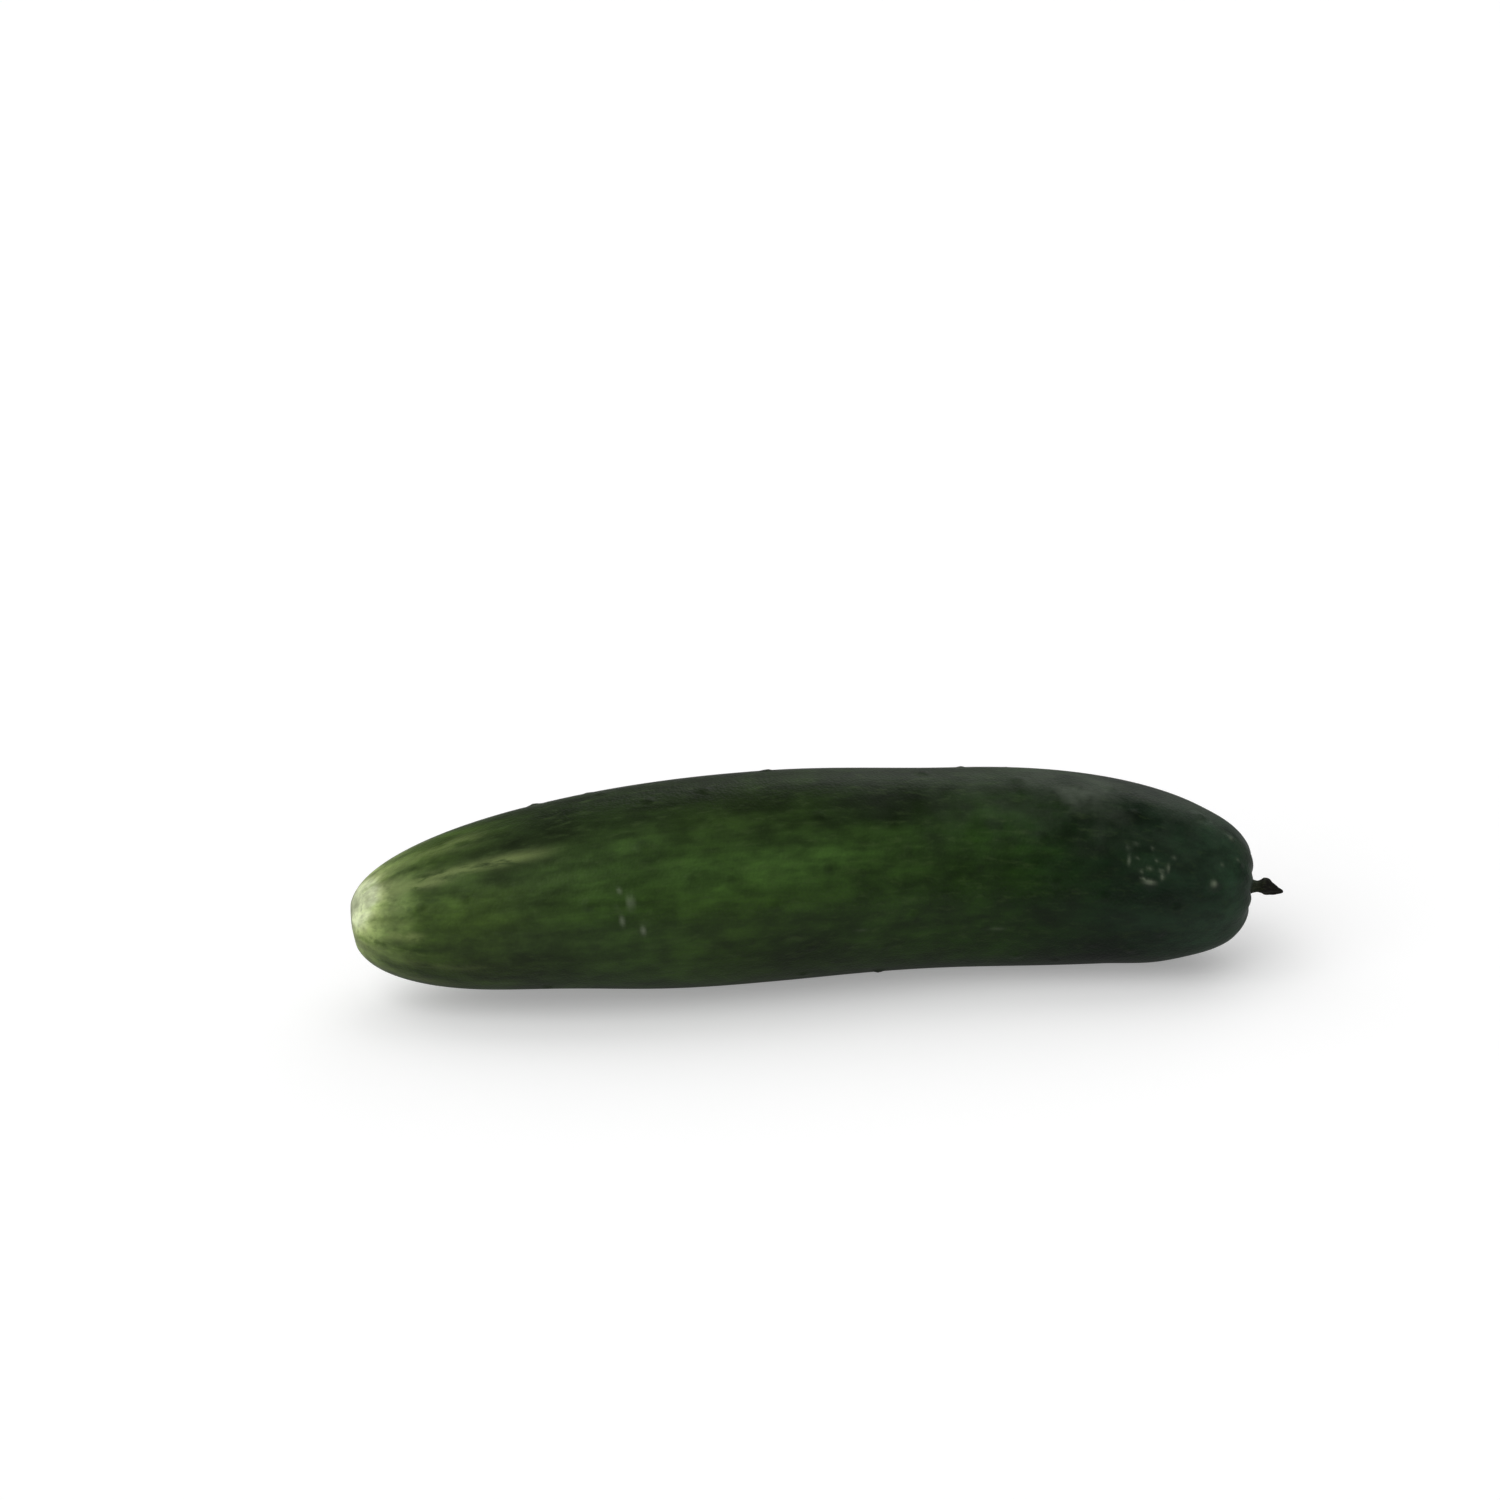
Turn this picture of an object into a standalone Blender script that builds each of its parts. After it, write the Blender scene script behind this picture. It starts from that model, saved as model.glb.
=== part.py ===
"""A slicing cucumber with the stub of its stem, lying as picked on a level surface.

Metres, +Z up.  +X runs from the blossom end to the stem end and the fruit bows towards +Y.  The
origin is at the bottom centre of the whole object, on the surface that it lies on.
"""
import math

import bpy
from mathutils import Vector

# Driving dimensions of the fruit
FRUIT_LENGTH = 0.210
FRUIT_RADIUS = 0.0245
SLIMMING = 0.048            # how much thinner the stem half is, as a share of the radius
SLIMMING_START = 0.45       # fractions of the length, counted from the blossom end
SLIMMING_END = 0.68

# Rounding of the two ends: the share of the length it takes, its power and its bluntness
BLOSSOM_TAPER = 0.43
BLOSSOM_POWER = 2.0
BLOSSOM_BLUNTNESS = 0.38
STEM_TAPER = 0.35
STEM_POWER = 3.0
STEM_BLUNTNESS = 0.39
BLOSSOM_SCAR_RADIUS = 0.0016
STEM_SEAT_RADIUS = 0.0028

# Bend of the fruit
BOW = 0.0102                # sideways rise of the centreline over the chord between its ends
BOW_PEAK = 0.68             # where the bow is greatest
BOW_SHARPNESS = 1.3
BLOSSOM_DROOP = 0.0050      # how far each tip hangs below the centre of the belly
STEM_DROOP = 0.0038
REST_CUT = 0.0004           # how much the weight of the fruit flattens its belly

# Stem stub: each station's distance along it, its droop and its radius
STEM_STATIONS = (
    (0.0000, 0.0000, 0.0024),
    (0.0010, 0.0000, 0.0019),
    (0.0024, 0.0001, 0.0016),
    (0.0038, 0.0002, 0.0019),
    (0.0052, 0.0004, 0.0016),
    (0.0064, 0.0007, 0.0010),
    (0.0072, 0.0009, 0.0005),
)
STEM_LENGTH = STEM_STATIONS[-1][0]

GAP = 0.0003                # air between pieces that touch
MERGE_DISTANCE = 0.00001

RINGS_ALONG = 44
SIDES_AROUND = 44
SPINE_POINTS = 60
STEM_BEVEL_STEPS = 3        # twelve sides around the stem
REST_BLOCK_HEIGHT = 0.020


def smooth_step(low, high, value):
    """Rise from 0 at low to 1 at high with level ends."""
    share = min(max((value - low) / (high - low), 0.0), 1.0)
    return share * share * (3.0 - 2.0 * share)


def end_fullness(along):
    """Return 0 at either tip and 1 where the ends' rounding is over."""
    from_blossom = min(along / BLOSSOM_TAPER, 1.0)
    from_stem = min((1.0 - along) / STEM_TAPER, 1.0)
    blossom = 1.0 - (1.0 - from_blossom) ** BLOSSOM_POWER
    stem = 1.0 - (1.0 - from_stem) ** STEM_POWER
    return blossom ** BLOSSOM_BLUNTNESS * stem ** STEM_BLUNTNESS


def body_radius(along):
    """Return the radius that the fruit would have without its rounded ends."""
    return FRUIT_RADIUS * (1.0 - SLIMMING * smooth_step(SLIMMING_START, SLIMMING_END, along))


def fruit_radius(along):
    """Return the fruit's radius at a fraction of its length."""
    return body_radius(along) * end_fullness(along)


def droop_at(along):
    """Return how far the centreline hangs at a fraction of the length."""
    blossom = max(1.0 - along / BLOSSOM_TAPER, 0.0)
    stem = max(1.0 - (1.0 - along) / STEM_TAPER, 0.0)
    return BLOSSOM_DROOP * blossom ** 2 + STEM_DROOP * stem ** 2


def bow_at(along):
    """Return how far the centreline stands sideways off the chord."""
    peak_power = math.log(0.5) / math.log(BOW_PEAK)
    return BOW * math.sin(math.pi * along ** peak_power) ** BOW_SHARPNESS


def even_fractions(count):
    """Return fractions from 0 to 1, closer together towards both ends."""
    return [0.5 - 0.5 * math.cos(math.pi * i / (count - 1)) for i in range(count)]


def side_limits():
    """Return the lowest and highest sideways reach of the fruit before it is centred."""
    fractions = even_fractions(SPINE_POINTS)
    low = min(bow_at(along) - fruit_radius(along) for along in fractions)
    high = max(bow_at(along) + fruit_radius(along) for along in fractions)
    return low, high


LOW_SIDE, HIGH_SIDE = side_limits()
HALF_OBJECT_LENGTH = (FRUIT_LENGTH + GAP + STEM_LENGTH) / 2.0
MIDDLE_SIDE = (LOW_SIDE + HIGH_SIDE) / 2.0


def spine_point(along):
    """Return the centreline point at a fraction of the length, in the object's frame."""
    return Vector((
        along * FRUIT_LENGTH - HALF_OBJECT_LENGTH,
        bow_at(along) - MIDDLE_SIDE,
        body_radius(along) - droop_at(along) - REST_CUT,
    ))


def spine_length():
    """Return the length of the centreline."""
    points = [spine_point(along) for along in even_fractions(SPINE_POINTS)]
    return sum((b - a).length for a, b in zip(points, points[1:]))


def clear_scene():
    """Remove every object, so that the script can run again in an open file."""
    for obj in list(bpy.data.objects):
        bpy.data.objects.remove(obj, do_unlink=True)


def make_collection(name):
    """Return a new collection linked to the scene."""
    collection = bpy.data.collections.new(name)
    bpy.context.scene.collection.children.link(collection)
    return collection


def make_material(name, colour, roughness):
    """Return a Principled material of one plain finish that is not metal."""
    material = bpy.data.materials.new(name)
    material.use_nodes = True
    shader = material.node_tree.nodes["Principled BSDF"]
    shader.inputs["Base Color"].default_value = (*colour, 1.0)
    shader.inputs["Roughness"].default_value = roughness
    shader.inputs["Metallic"].default_value = 0.0
    return material


def hide_guide(obj):
    """Mark an object as a guide or cutter and not a part."""
    obj.hide_render = True
    obj.display_type = "WIRE"


def add_poly_curve(name, points, collection):
    """Return a curve object of straight runs through the points."""
    curve = bpy.data.curves.new(name, "CURVE")
    curve.dimensions = "3D"
    curve.twist_mode = "Z_UP"
    spline = curve.splines.new("POLY")
    spline.points.add(len(points) - 1)
    for point, place in zip(spline.points, points):
        point.co = (*place, 1.0)
    obj = bpy.data.objects.new(name, curve)
    collection.objects.link(obj)
    return obj


def add_spine(collection):
    """Add the guide that bends the turned fruit."""
    points = [spine_point(along) for along in even_fractions(SPINE_POINTS)]
    spine = add_poly_curve("spine_guide", points, collection)
    hide_guide(spine)
    return spine


def add_rest_cutter(collection):
    """Add the block that flattens the belly on the surface it lies on."""
    middle = (0.0, 0.0, -REST_BLOCK_HEIGHT / 2.0)
    bpy.ops.mesh.primitive_cube_add(size=1.0, location=middle)
    cutter = bpy.context.object
    cutter.name = "rest_cutter"
    cutter.scale = (FRUIT_LENGTH, FRUIT_RADIUS * 4.0, REST_BLOCK_HEIGHT)
    bpy.ops.object.transform_apply(location=False, rotation=False, scale=True)
    for user in list(cutter.users_collection):
        user.objects.unlink(cutter)
    collection.objects.link(cutter)
    hide_guide(cutter)
    return cutter


def fruit_profile():
    """Return the outer line of the straight fruit as (radius, height), from the stem end down."""
    length = spine_length()
    outline = [(0.0, length), (STEM_SEAT_RADIUS, length)]
    for along in reversed(even_fractions(RINGS_ALONG)[1:-1]):
        outline.append((fruit_radius(along), along * length))
    outline += [(BLOSSOM_SCAR_RADIUS, 0.0), (0.0, 0.0)]
    return outline


def add_fruit(spine, cutter, collection):
    """Turn the fruit about its length, bend it along the spine and flatten its belly."""
    outline = fruit_profile()
    mesh = bpy.data.meshes.new("fruit")
    vertices = [(radius, 0.0, height) for radius, height in outline]
    edges = [(i, i + 1) for i in range(len(outline) - 1)]
    mesh.from_pydata(vertices, edges, [])
    fruit = bpy.data.objects.new("fruit", mesh)
    collection.objects.link(fruit)

    turn = fruit.modifiers.new("turn", "SCREW")
    turn.axis = "Z"
    turn.steps = SIDES_AROUND
    turn.render_steps = SIDES_AROUND
    turn.use_merge_vertices = True
    turn.merge_threshold = MERGE_DISTANCE
    turn.use_smooth_shade = True

    bend = fruit.modifiers.new("bend", "CURVE")
    bend.object = spine
    bend.deform_axis = "POS_Z"

    rest = fruit.modifiers.new("rest", "BOOLEAN")
    rest.operation = "DIFFERENCE"
    rest.solver = "EXACT"
    rest.object = cutter

    mesh.materials.append(make_material("cucumber_skin", (0.030, 0.065, 0.018), 0.42))
    return fruit


def add_stem(collection):
    """Add the shrivelled stub of the stem, which carries on from the centreline and droops."""
    seat = spine_point(1.0)
    near_the_seat = 1.0 - STEM_LENGTH / FRUIT_LENGTH
    forward = (seat - spine_point(near_the_seat)).normalized()
    start = seat + forward * GAP
    points = [start + forward * reach - Vector((0.0, 0.0, droop))
              for reach, droop, _ in STEM_STATIONS]
    stem = add_poly_curve("stem", points, collection)
    thickest = max(radius for _, _, radius in STEM_STATIONS)
    for point, (_, _, radius) in zip(stem.data.splines[0].points, STEM_STATIONS):
        point.radius = radius / thickest
    stem.data.bevel_depth = thickest
    stem.data.bevel_resolution = STEM_BEVEL_STEPS
    stem.data.use_fill_caps = True
    stem.data.materials.append(make_material("dry_stem", (0.045, 0.050, 0.028), 0.75))
    return stem


def main():
    """Build the cucumber."""
    clear_scene()
    parts = make_collection("cucumber")
    guides = make_collection("guides")
    spine = add_spine(guides)
    cutter = add_rest_cutter(guides)
    add_fruit(spine, cutter, parts)
    add_stem(parts)


main()
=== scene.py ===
"""The finished looks of a slicing cucumber, built around its fixed model.

Metres, +Z up.  +X runs from the blossom end to the stem end, the fruit bows towards +Y and lies on
the surface at Z = 0.  The fruit is first modelled straight, along +X from its blossom tip, where
warts, ridges and colour zones are easy to place, and is then bent along its spine.
"""
import logging
import math
from dataclasses import dataclass, field
from enum import Enum
from typing import Callable, Optional, Sequence

import bpy
import numpy as np
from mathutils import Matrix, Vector, noise


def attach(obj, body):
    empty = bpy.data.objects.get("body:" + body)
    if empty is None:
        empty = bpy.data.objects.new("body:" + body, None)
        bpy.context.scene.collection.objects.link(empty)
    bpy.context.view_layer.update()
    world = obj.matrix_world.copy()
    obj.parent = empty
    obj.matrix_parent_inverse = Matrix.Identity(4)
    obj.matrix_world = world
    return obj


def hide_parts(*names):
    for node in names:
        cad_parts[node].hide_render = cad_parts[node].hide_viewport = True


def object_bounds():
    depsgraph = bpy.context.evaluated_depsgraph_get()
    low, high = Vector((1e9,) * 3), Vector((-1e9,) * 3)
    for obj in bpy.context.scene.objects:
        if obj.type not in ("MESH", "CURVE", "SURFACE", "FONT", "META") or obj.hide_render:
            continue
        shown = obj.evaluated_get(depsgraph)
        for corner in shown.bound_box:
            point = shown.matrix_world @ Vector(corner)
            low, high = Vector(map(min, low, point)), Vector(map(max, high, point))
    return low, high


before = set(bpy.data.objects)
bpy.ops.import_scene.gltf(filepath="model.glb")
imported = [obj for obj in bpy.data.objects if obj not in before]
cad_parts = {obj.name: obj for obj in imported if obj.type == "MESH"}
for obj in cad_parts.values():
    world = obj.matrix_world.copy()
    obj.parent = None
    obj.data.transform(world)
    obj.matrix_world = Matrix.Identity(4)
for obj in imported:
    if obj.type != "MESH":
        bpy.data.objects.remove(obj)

MODEL_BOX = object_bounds()
BODY = "root"
HALF_TURN = 180.0
UP = Vector((0.0, 0.0, 1.0))
WHITE = (1.0, 1.0, 1.0, 1.0)
LOG = logging.getLogger("cucumber")

Colour = tuple[float, float, float]
Values = np.ndarray


# --------------------------------------------------------------------------------------------
# Small helpers
# --------------------------------------------------------------------------------------------

def linear(red: float, green: float, blue: float) -> Colour:
    """Turn a colour as the eye sees it, 0 to 255 a channel, into the shader's linear values.

    Args:
        red: Red, 0 to 255.
        green: Green, 0 to 255.
        blue: Blue, 0 to 255.

    Returns:
        The three linear values, 0 to 1.
    """
    def channel(value: float) -> float:
        """Return one channel's linear value."""
        share = value / 255.0
        return share / 12.92 if share <= 0.04045 else ((share + 0.055) / 1.055) ** 2.4

    return channel(red), channel(green), channel(blue)


def smooth_step(low: float, high: float, values: Values) -> Values:
    """Rise from 0 at low to 1 at high with level ends."""
    share = np.clip((values - low) / (high - low), 0.0, 1.0)
    return share * share * (3.0 - 2.0 * share)


def bell(values: Values, centre: float, width: float) -> Values:
    """Return 1 at the centre, falling away on both sides in a smooth hump of the given width."""
    return np.exp(-((values - centre) / width) ** 2)


def near_end(along: Values, part: float = 0.1) -> Values:
    """Return 1 at the start of the length, falling evenly to 0 over the given part of it."""
    return np.clip((part - along) / part, 0.0, 1.0)


def wrap(degrees: Values) -> Values:
    """Bring angles into the half turn on either side of 0."""
    return (degrees + HALF_TURN) % (2.0 * HALF_TURN) - HALF_TURN


def deselect_all() -> None:
    """Deselect every object, so that an operator acts on new work only."""
    bpy.ops.object.select_all(action="DESELECT")


def apply_modifier(obj: bpy.types.Object, modifier: bpy.types.Modifier) -> None:
    """Select one object alone and apply one of its modifiers.

    Args:
        obj: The object.
        modifier: The modifier to apply.
    """
    deselect_all()
    obj.select_set(True)
    bpy.context.view_layer.objects.active = obj
    bpy.ops.object.modifier_apply(modifier=modifier.name)


def subdivide(obj: bpy.types.Object, levels: int) -> None:
    """Round a cage with a subdivision surface.

    Args:
        obj: The cage, which becomes the fine mesh.
        levels: How many times each face is divided.
    """
    smooth = obj.modifiers.new("smooth", "SUBSURF")
    smooth.levels = levels
    smooth.render_levels = levels
    apply_modifier(obj, smooth)


@dataclass(frozen=True)
class Ring:
    """One ring of a drawn-out shape: its place along +X, its radius and its turn in degrees."""

    place: float
    radius: float
    turn: float = 0.0


def draw_out(name: str, sides: int, rings: Sequence[Ring]) -> bpy.types.Object:
    """Draw a closed shape out of a disc, ring by ring, along +X.

    Args:
        name: The new object's name.
        sides: How many sides the shape has around.
        rings: The rings in order, of which the first is the disc.

    Returns:
        The new object, with its place in its mesh.
    """
    deselect_all()
    bpy.ops.mesh.primitive_circle_add(vertices=sides, radius=rings[0].radius, fill_type="NGON",
                                      rotation=(0.0, math.pi / 2.0, 0.0))
    shape = bpy.context.object
    shape.name = shape.data.name = name
    bpy.ops.object.mode_set(mode="EDIT")
    bpy.ops.mesh.select_all(action="SELECT")
    for before, after in zip(rings, rings[1:]):
        move = {"value": (after.place - before.place, 0.0, 0.0)}
        bpy.ops.mesh.extrude_region_move(TRANSFORM_OT_translate=move)
        grow = after.radius / before.radius
        centre = (after.place, 0.0, 0.0)
        bpy.ops.transform.resize(value=(1.0, grow, grow), center_override=centre)
        if after.turn != before.turn:
            bpy.ops.transform.rotate(value=math.radians(after.turn - before.turn),
                                     orient_axis="X", center_override=centre)
    bpy.ops.mesh.select_all(action="SELECT")
    bpy.ops.mesh.normals_make_consistent(inside=False)
    bpy.ops.object.mode_set(mode="OBJECT")
    bpy.ops.object.transform_apply(location=True, rotation=True, scale=True)
    return shape


def read_rows(items: bpy.types.bpy_prop_collection, name: str) -> Values:
    """Return a vector that each of a mesh's items holds, as rows of three.

    Args:
        items: The mesh's vertices or their normals.
        name: The name of the vector.

    Returns:
        One row an item.
    """
    flat = np.empty(len(items) * 3, dtype=np.float32)
    items.foreach_get(name, flat)
    return flat.reshape(-1, 3).astype(float)


def read_points(mesh: bpy.types.Mesh) -> Values:
    """Return a mesh's vertex places as rows of three."""
    return read_rows(mesh.vertices, "co")


def write_points(mesh: bpy.types.Mesh, points: Values) -> None:
    """Write vertex places back to a mesh."""
    mesh.vertices.foreach_set("co", points.astype(np.float32).ravel())
    mesh.update()


def read_normals(mesh: bpy.types.Mesh) -> Values:
    """Return a mesh's vertex normals as rows of three."""
    return read_rows(mesh.vertex_normals, "vector")


def store_values(mesh: bpy.types.Mesh, name: str, values: Values) -> None:
    """Store one number a vertex as a named attribute, for the materials to read."""
    attribute = mesh.attributes.new(name, "FLOAT", "POINT")
    attribute.data.foreach_set("value", values.astype(np.float32))


def store_vectors(mesh: bpy.types.Mesh, name: str, vectors: Values) -> None:
    """Store one vector a vertex as a named attribute, for the materials to read."""
    attribute = mesh.attributes.new(name, "FLOAT_VECTOR", "POINT")
    attribute.data.foreach_set("vector", vectors.astype(np.float32).ravel())


def soft_noise(points: Values, waves: Sequence[float], offset: float) -> Values:
    """Return smooth noise of about -1 to 1 at each point.

    Args:
        points: Rows of three, in metres.
        waves: How many waves a metre the noise has along each axis.
        offset: A shift that gives each use its own noise.

    Returns:
        One value a point.
    """
    scaled = points * np.asarray(waves, dtype=float) + offset
    return np.array([noise.noise(Vector(place)) for place in scaled])


# --------------------------------------------------------------------------------------------
# The fruit's line and thickness
# --------------------------------------------------------------------------------------------

@dataclass(frozen=True)
class Spine:
    """The bent centreline of the fruit and its thickness along it, the same as the model's."""

    length: float = 0.210
    radius: float = 0.0245
    slimming: float = 0.048
    slimming_from: float = 0.45
    slimming_to: float = 0.68
    blossom_taper: float = 0.43
    blossom_power: float = 2.0
    blossom_bluntness: float = 0.38
    stem_taper: float = 0.35
    stem_power: float = 3.0
    stem_bluntness: float = 0.39
    bow: float = 0.0102
    bow_peak: float = 0.68
    bow_sharpness: float = 1.3
    blossom_droop: float = 0.0050
    stem_droop: float = 0.0038
    rest_cut: float = 0.0004
    stem_reach: float = 0.0075
    guide_points: int = 90

    @staticmethod
    def fractions(count: int) -> Values:
        """Return fractions of the length, closer together towards both ends."""
        return 0.5 - 0.5 * np.cos(np.linspace(0.0, math.pi, count))

    def fullness(self, along: Values) -> Values:
        """Return how full the fruit is with its ends rounded.

        Args:
            along: Fractions of the length.

        Returns:
            0 at either tip and 1 where the rounding is over.
        """
        from_blossom = np.clip(along / self.blossom_taper, 0.0, 1.0)
        from_stem = np.clip((1.0 - along) / self.stem_taper, 0.0, 1.0)
        blossom = 1.0 - (1.0 - from_blossom) ** self.blossom_power
        stem = 1.0 - (1.0 - from_stem) ** self.stem_power
        return blossom ** self.blossom_bluntness * stem ** self.stem_bluntness

    def body_radius(self, along: Values) -> Values:
        """Return the radius that the fruit would have without its rounded ends."""
        slim = smooth_step(self.slimming_from, self.slimming_to, along)
        return self.radius * (1.0 - self.slimming * slim)

    def radius_at(self, along: Values) -> Values:
        """Return the fruit's radius at fractions of its length."""
        return self.body_radius(along) * self.fullness(along)

    def bow_at(self, along: Values) -> Values:
        """Return how far the centreline stands sideways off its chord.

        Args:
            along: Fractions of the length.

        Returns:
            The distances towards +Y.
        """
        power = math.log(0.5) / math.log(self.bow_peak)
        wave = np.sin(math.pi * np.clip(along, 0.0, 1.0) ** power)
        return self.bow * np.clip(wave, 0.0, 1.0) ** self.bow_sharpness

    def droop_at(self, along: Values) -> Values:
        """Return how far the centreline hangs towards the two ends.

        Args:
            along: Fractions of the length.

        Returns:
            The distances down.
        """
        blossom = np.clip(1.0 - along / self.blossom_taper, 0.0, 1.0)
        stem = np.clip(1.0 - (1.0 - along) / self.stem_taper, 0.0, 1.0)
        return self.blossom_droop * blossom ** 2 + self.stem_droop * stem ** 2

    def middle_side(self) -> float:
        """Work out where the fruit's sideways middle is before it is centred.

        Returns:
            The middle's distance towards +Y.
        """
        along = self.fractions(self.guide_points)
        low = np.min(self.bow_at(along) - self.radius_at(along))
        high = np.max(self.bow_at(along) + self.radius_at(along))
        return float(low + high) / 2.0

    def places(self, along: Values) -> Values:
        """Return centreline points in the object's frame.

        Args:
            along: Fractions of the length.

        Returns:
            One row of three a fraction.
        """
        half_object = (self.length + self.stem_reach) / 2.0
        return np.stack([
            along * self.length - half_object,
            self.bow_at(along) - self.middle_side(),
            self.body_radius(along) - self.droop_at(along) - self.rest_cut,
        ], axis=1)

    def length_along(self) -> float:
        """Return the length of the centreline."""
        steps = np.diff(self.places(self.fractions(self.guide_points)), axis=0)
        return float(np.linalg.norm(steps, axis=1).sum())

    def skin_point(self, along: float, around: float) -> Values:
        """Find a place on the straight fruit's skin.

        Args:
            along: The fraction of the length.
            around: The angle in degrees up from the -Y side.

        Returns:
            The point.
        """
        radius = float(self.radius_at(np.array([along]))[0])
        turn = math.radians(around)
        return np.array([along * self.length_along(), -radius * math.cos(turn),
                         radius * math.sin(turn)])

    def stem_root(self) -> tuple[Vector, Vector]:
        """Work out how the stem leaves the fruit.

        Returns:
            The place where it leaves, and the direction in which it goes.
        """
        near = 1.0 - self.stem_reach / self.length
        before, seat = self.places(np.array([near, 1.0]))
        return Vector(seat), Vector(seat - before).normalized()

    def add_guide(self) -> bpy.types.Object:
        """Add the curve that bends the straight fruit.

        Returns:
            The curve's object.
        """
        curve = bpy.data.curves.new("spine_guide", "CURVE")
        curve.dimensions = "3D"
        curve.twist_mode = "Z_UP"
        spline = curve.splines.new("POLY")
        places = self.places(self.fractions(self.guide_points))
        spline.points.add(len(places) - 1)
        for point, place in zip(spline.points, places):
            point.co = (*place, 1.0)
        guide = bpy.data.objects.new("spine_guide", curve)
        bpy.context.scene.collection.objects.link(guide)
        return guide


# --------------------------------------------------------------------------------------------
# Shader node groups, each with named inputs and outputs
# --------------------------------------------------------------------------------------------

class NodeSheet:
    """A node tree with short calls that add nodes and join them.

    A Mix node has sockets of the same names for each kind of data, so the ones for colours are
    told apart by their numbers.
    """

    first_colour: int = 6
    second_colour: int = 7
    mixed_colour: int = 2

    def __init__(self, tree: bpy.types.NodeTree) -> None:
        """Keep the tree to write in."""
        self.tree = tree

    def add(self, kind: str, inputs: Optional[dict] = None, **settings: object) -> bpy.types.Node:
        """Add a node, set its settings, and set or link its inputs.

        Args:
            kind: The node's type name.
            inputs: Socket name or number to a plain value or to another node's output.
            **settings: Attributes of the node itself.

        Returns:
            The new node.
        """
        node = self.tree.nodes.new(kind)
        for name, value in settings.items():
            setattr(node, name, value)
        for name, value in (inputs or {}).items():
            self.feed(node.inputs[name], value)
        return node

    def feed(self, socket: bpy.types.NodeSocket, value: object) -> None:
        """Link an output to a socket, or set the socket's own value.

        Args:
            socket: The input to feed.
            value: A plain value or another node's output.
        """
        if isinstance(value, bpy.types.NodeSocket):
            self.tree.links.new(value, socket)
        else:
            socket.default_value = value

    def calculate(self, operation: str, *values: object,
                  clamp: bool = False) -> bpy.types.NodeSocket:
        """Add a Math node and return its result."""
        inputs = dict(enumerate(values))
        return self.add("ShaderNodeMath", inputs, operation=operation, use_clamp=clamp).outputs[0]

    def span(self, value: object, low: float, high: float,
             to_low: float = 0.0, to_high: float = 1.0) -> bpy.types.NodeSocket:
        """Carry a value smoothly from one range to another.

        Args:
            value: The value or output to read.
            low: Where the first range starts.
            high: Where the first range ends.
            to_low: What the start becomes.
            to_high: What the end becomes.

        Returns:
            The carried value, level past both ends.
        """
        inputs = {"Value": value, "From Min": low, "From Max": high,
                  "To Min": to_low, "To Max": to_high}
        node = self.add("ShaderNodeMapRange", inputs, interpolation_type="SMOOTHSTEP")
        return node.outputs["Result"]

    def blend(self, share: object, first: object, second: object,
              mode: str = "MIX") -> bpy.types.NodeSocket:
        """Mix two colours.

        Args:
            share: How much of the second colour counts, 0 to 1.
            first: The colour below.
            second: The colour laid over it.
            mode: How the second is laid over the first.

        Returns:
            The mixed colour.
        """
        node = self.add("ShaderNodeMix", data_type="RGBA", blend_type=mode)
        self.feed(node.inputs["Factor"], share)
        self.feed(node.inputs[self.first_colour], first)
        self.feed(node.inputs[self.second_colour], second)
        return node.outputs[self.mixed_colour]

    def ramp(self, value: object, stops: Sequence[tuple[float, Colour]]) -> bpy.types.NodeSocket:
        """Turn a value into a colour.

        Args:
            value: The value or output to read.
            stops: Places from 0 to 1, each with its colour.

        Returns:
            The ramp's colour.
        """
        node = self.add("ShaderNodeValToRGB", {"Fac": value})
        elements = node.color_ramp.elements
        while len(elements) < len(stops):
            elements.new(0.5)
        for element, (place, colour) in zip(elements, stops):
            element.position = place
            element.color = (*colour, 1.0)
        return node.outputs["Color"]

    def read(self, name: str, output: str = "Fac") -> bpy.types.NodeSocket:
        """Read one of the piece's own attributes."""
        return self.add("ShaderNodeAttribute", attribute_name=name).outputs[output]

    def stretched(self, coordinates: object, stretch: float) -> bpy.types.NodeSocket:
        """Scale coordinates along the piece, so that a pattern on them is drawn out lengthwise."""
        inputs = {"Vector": coordinates, "Scale": (stretch, 1.0, 1.0)}
        return self.add("ShaderNodeMapping", inputs).outputs["Vector"]

    def noise(self, coordinates: object, per_metre: object, detail: float, roughness: float,
              distortion: float = 0.0) -> bpy.types.NodeSocket:
        """Add a cloudy noise.

        Args:
            coordinates: Where on the piece the noise is read.
            per_metre: Its waves a metre.
            detail: How many finer layers it has.
            roughness: How strong the finer layers are.
            distortion: How much it is stirred.

        Returns:
            A value of 0 to 1, mostly near the middle.
        """
        inputs = {"Vector": coordinates, "Scale": per_metre, "Detail": detail,
                  "Roughness": roughness, "Distortion": distortion}
        return self.add("ShaderNodeTexNoise", inputs).outputs[0]


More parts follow.
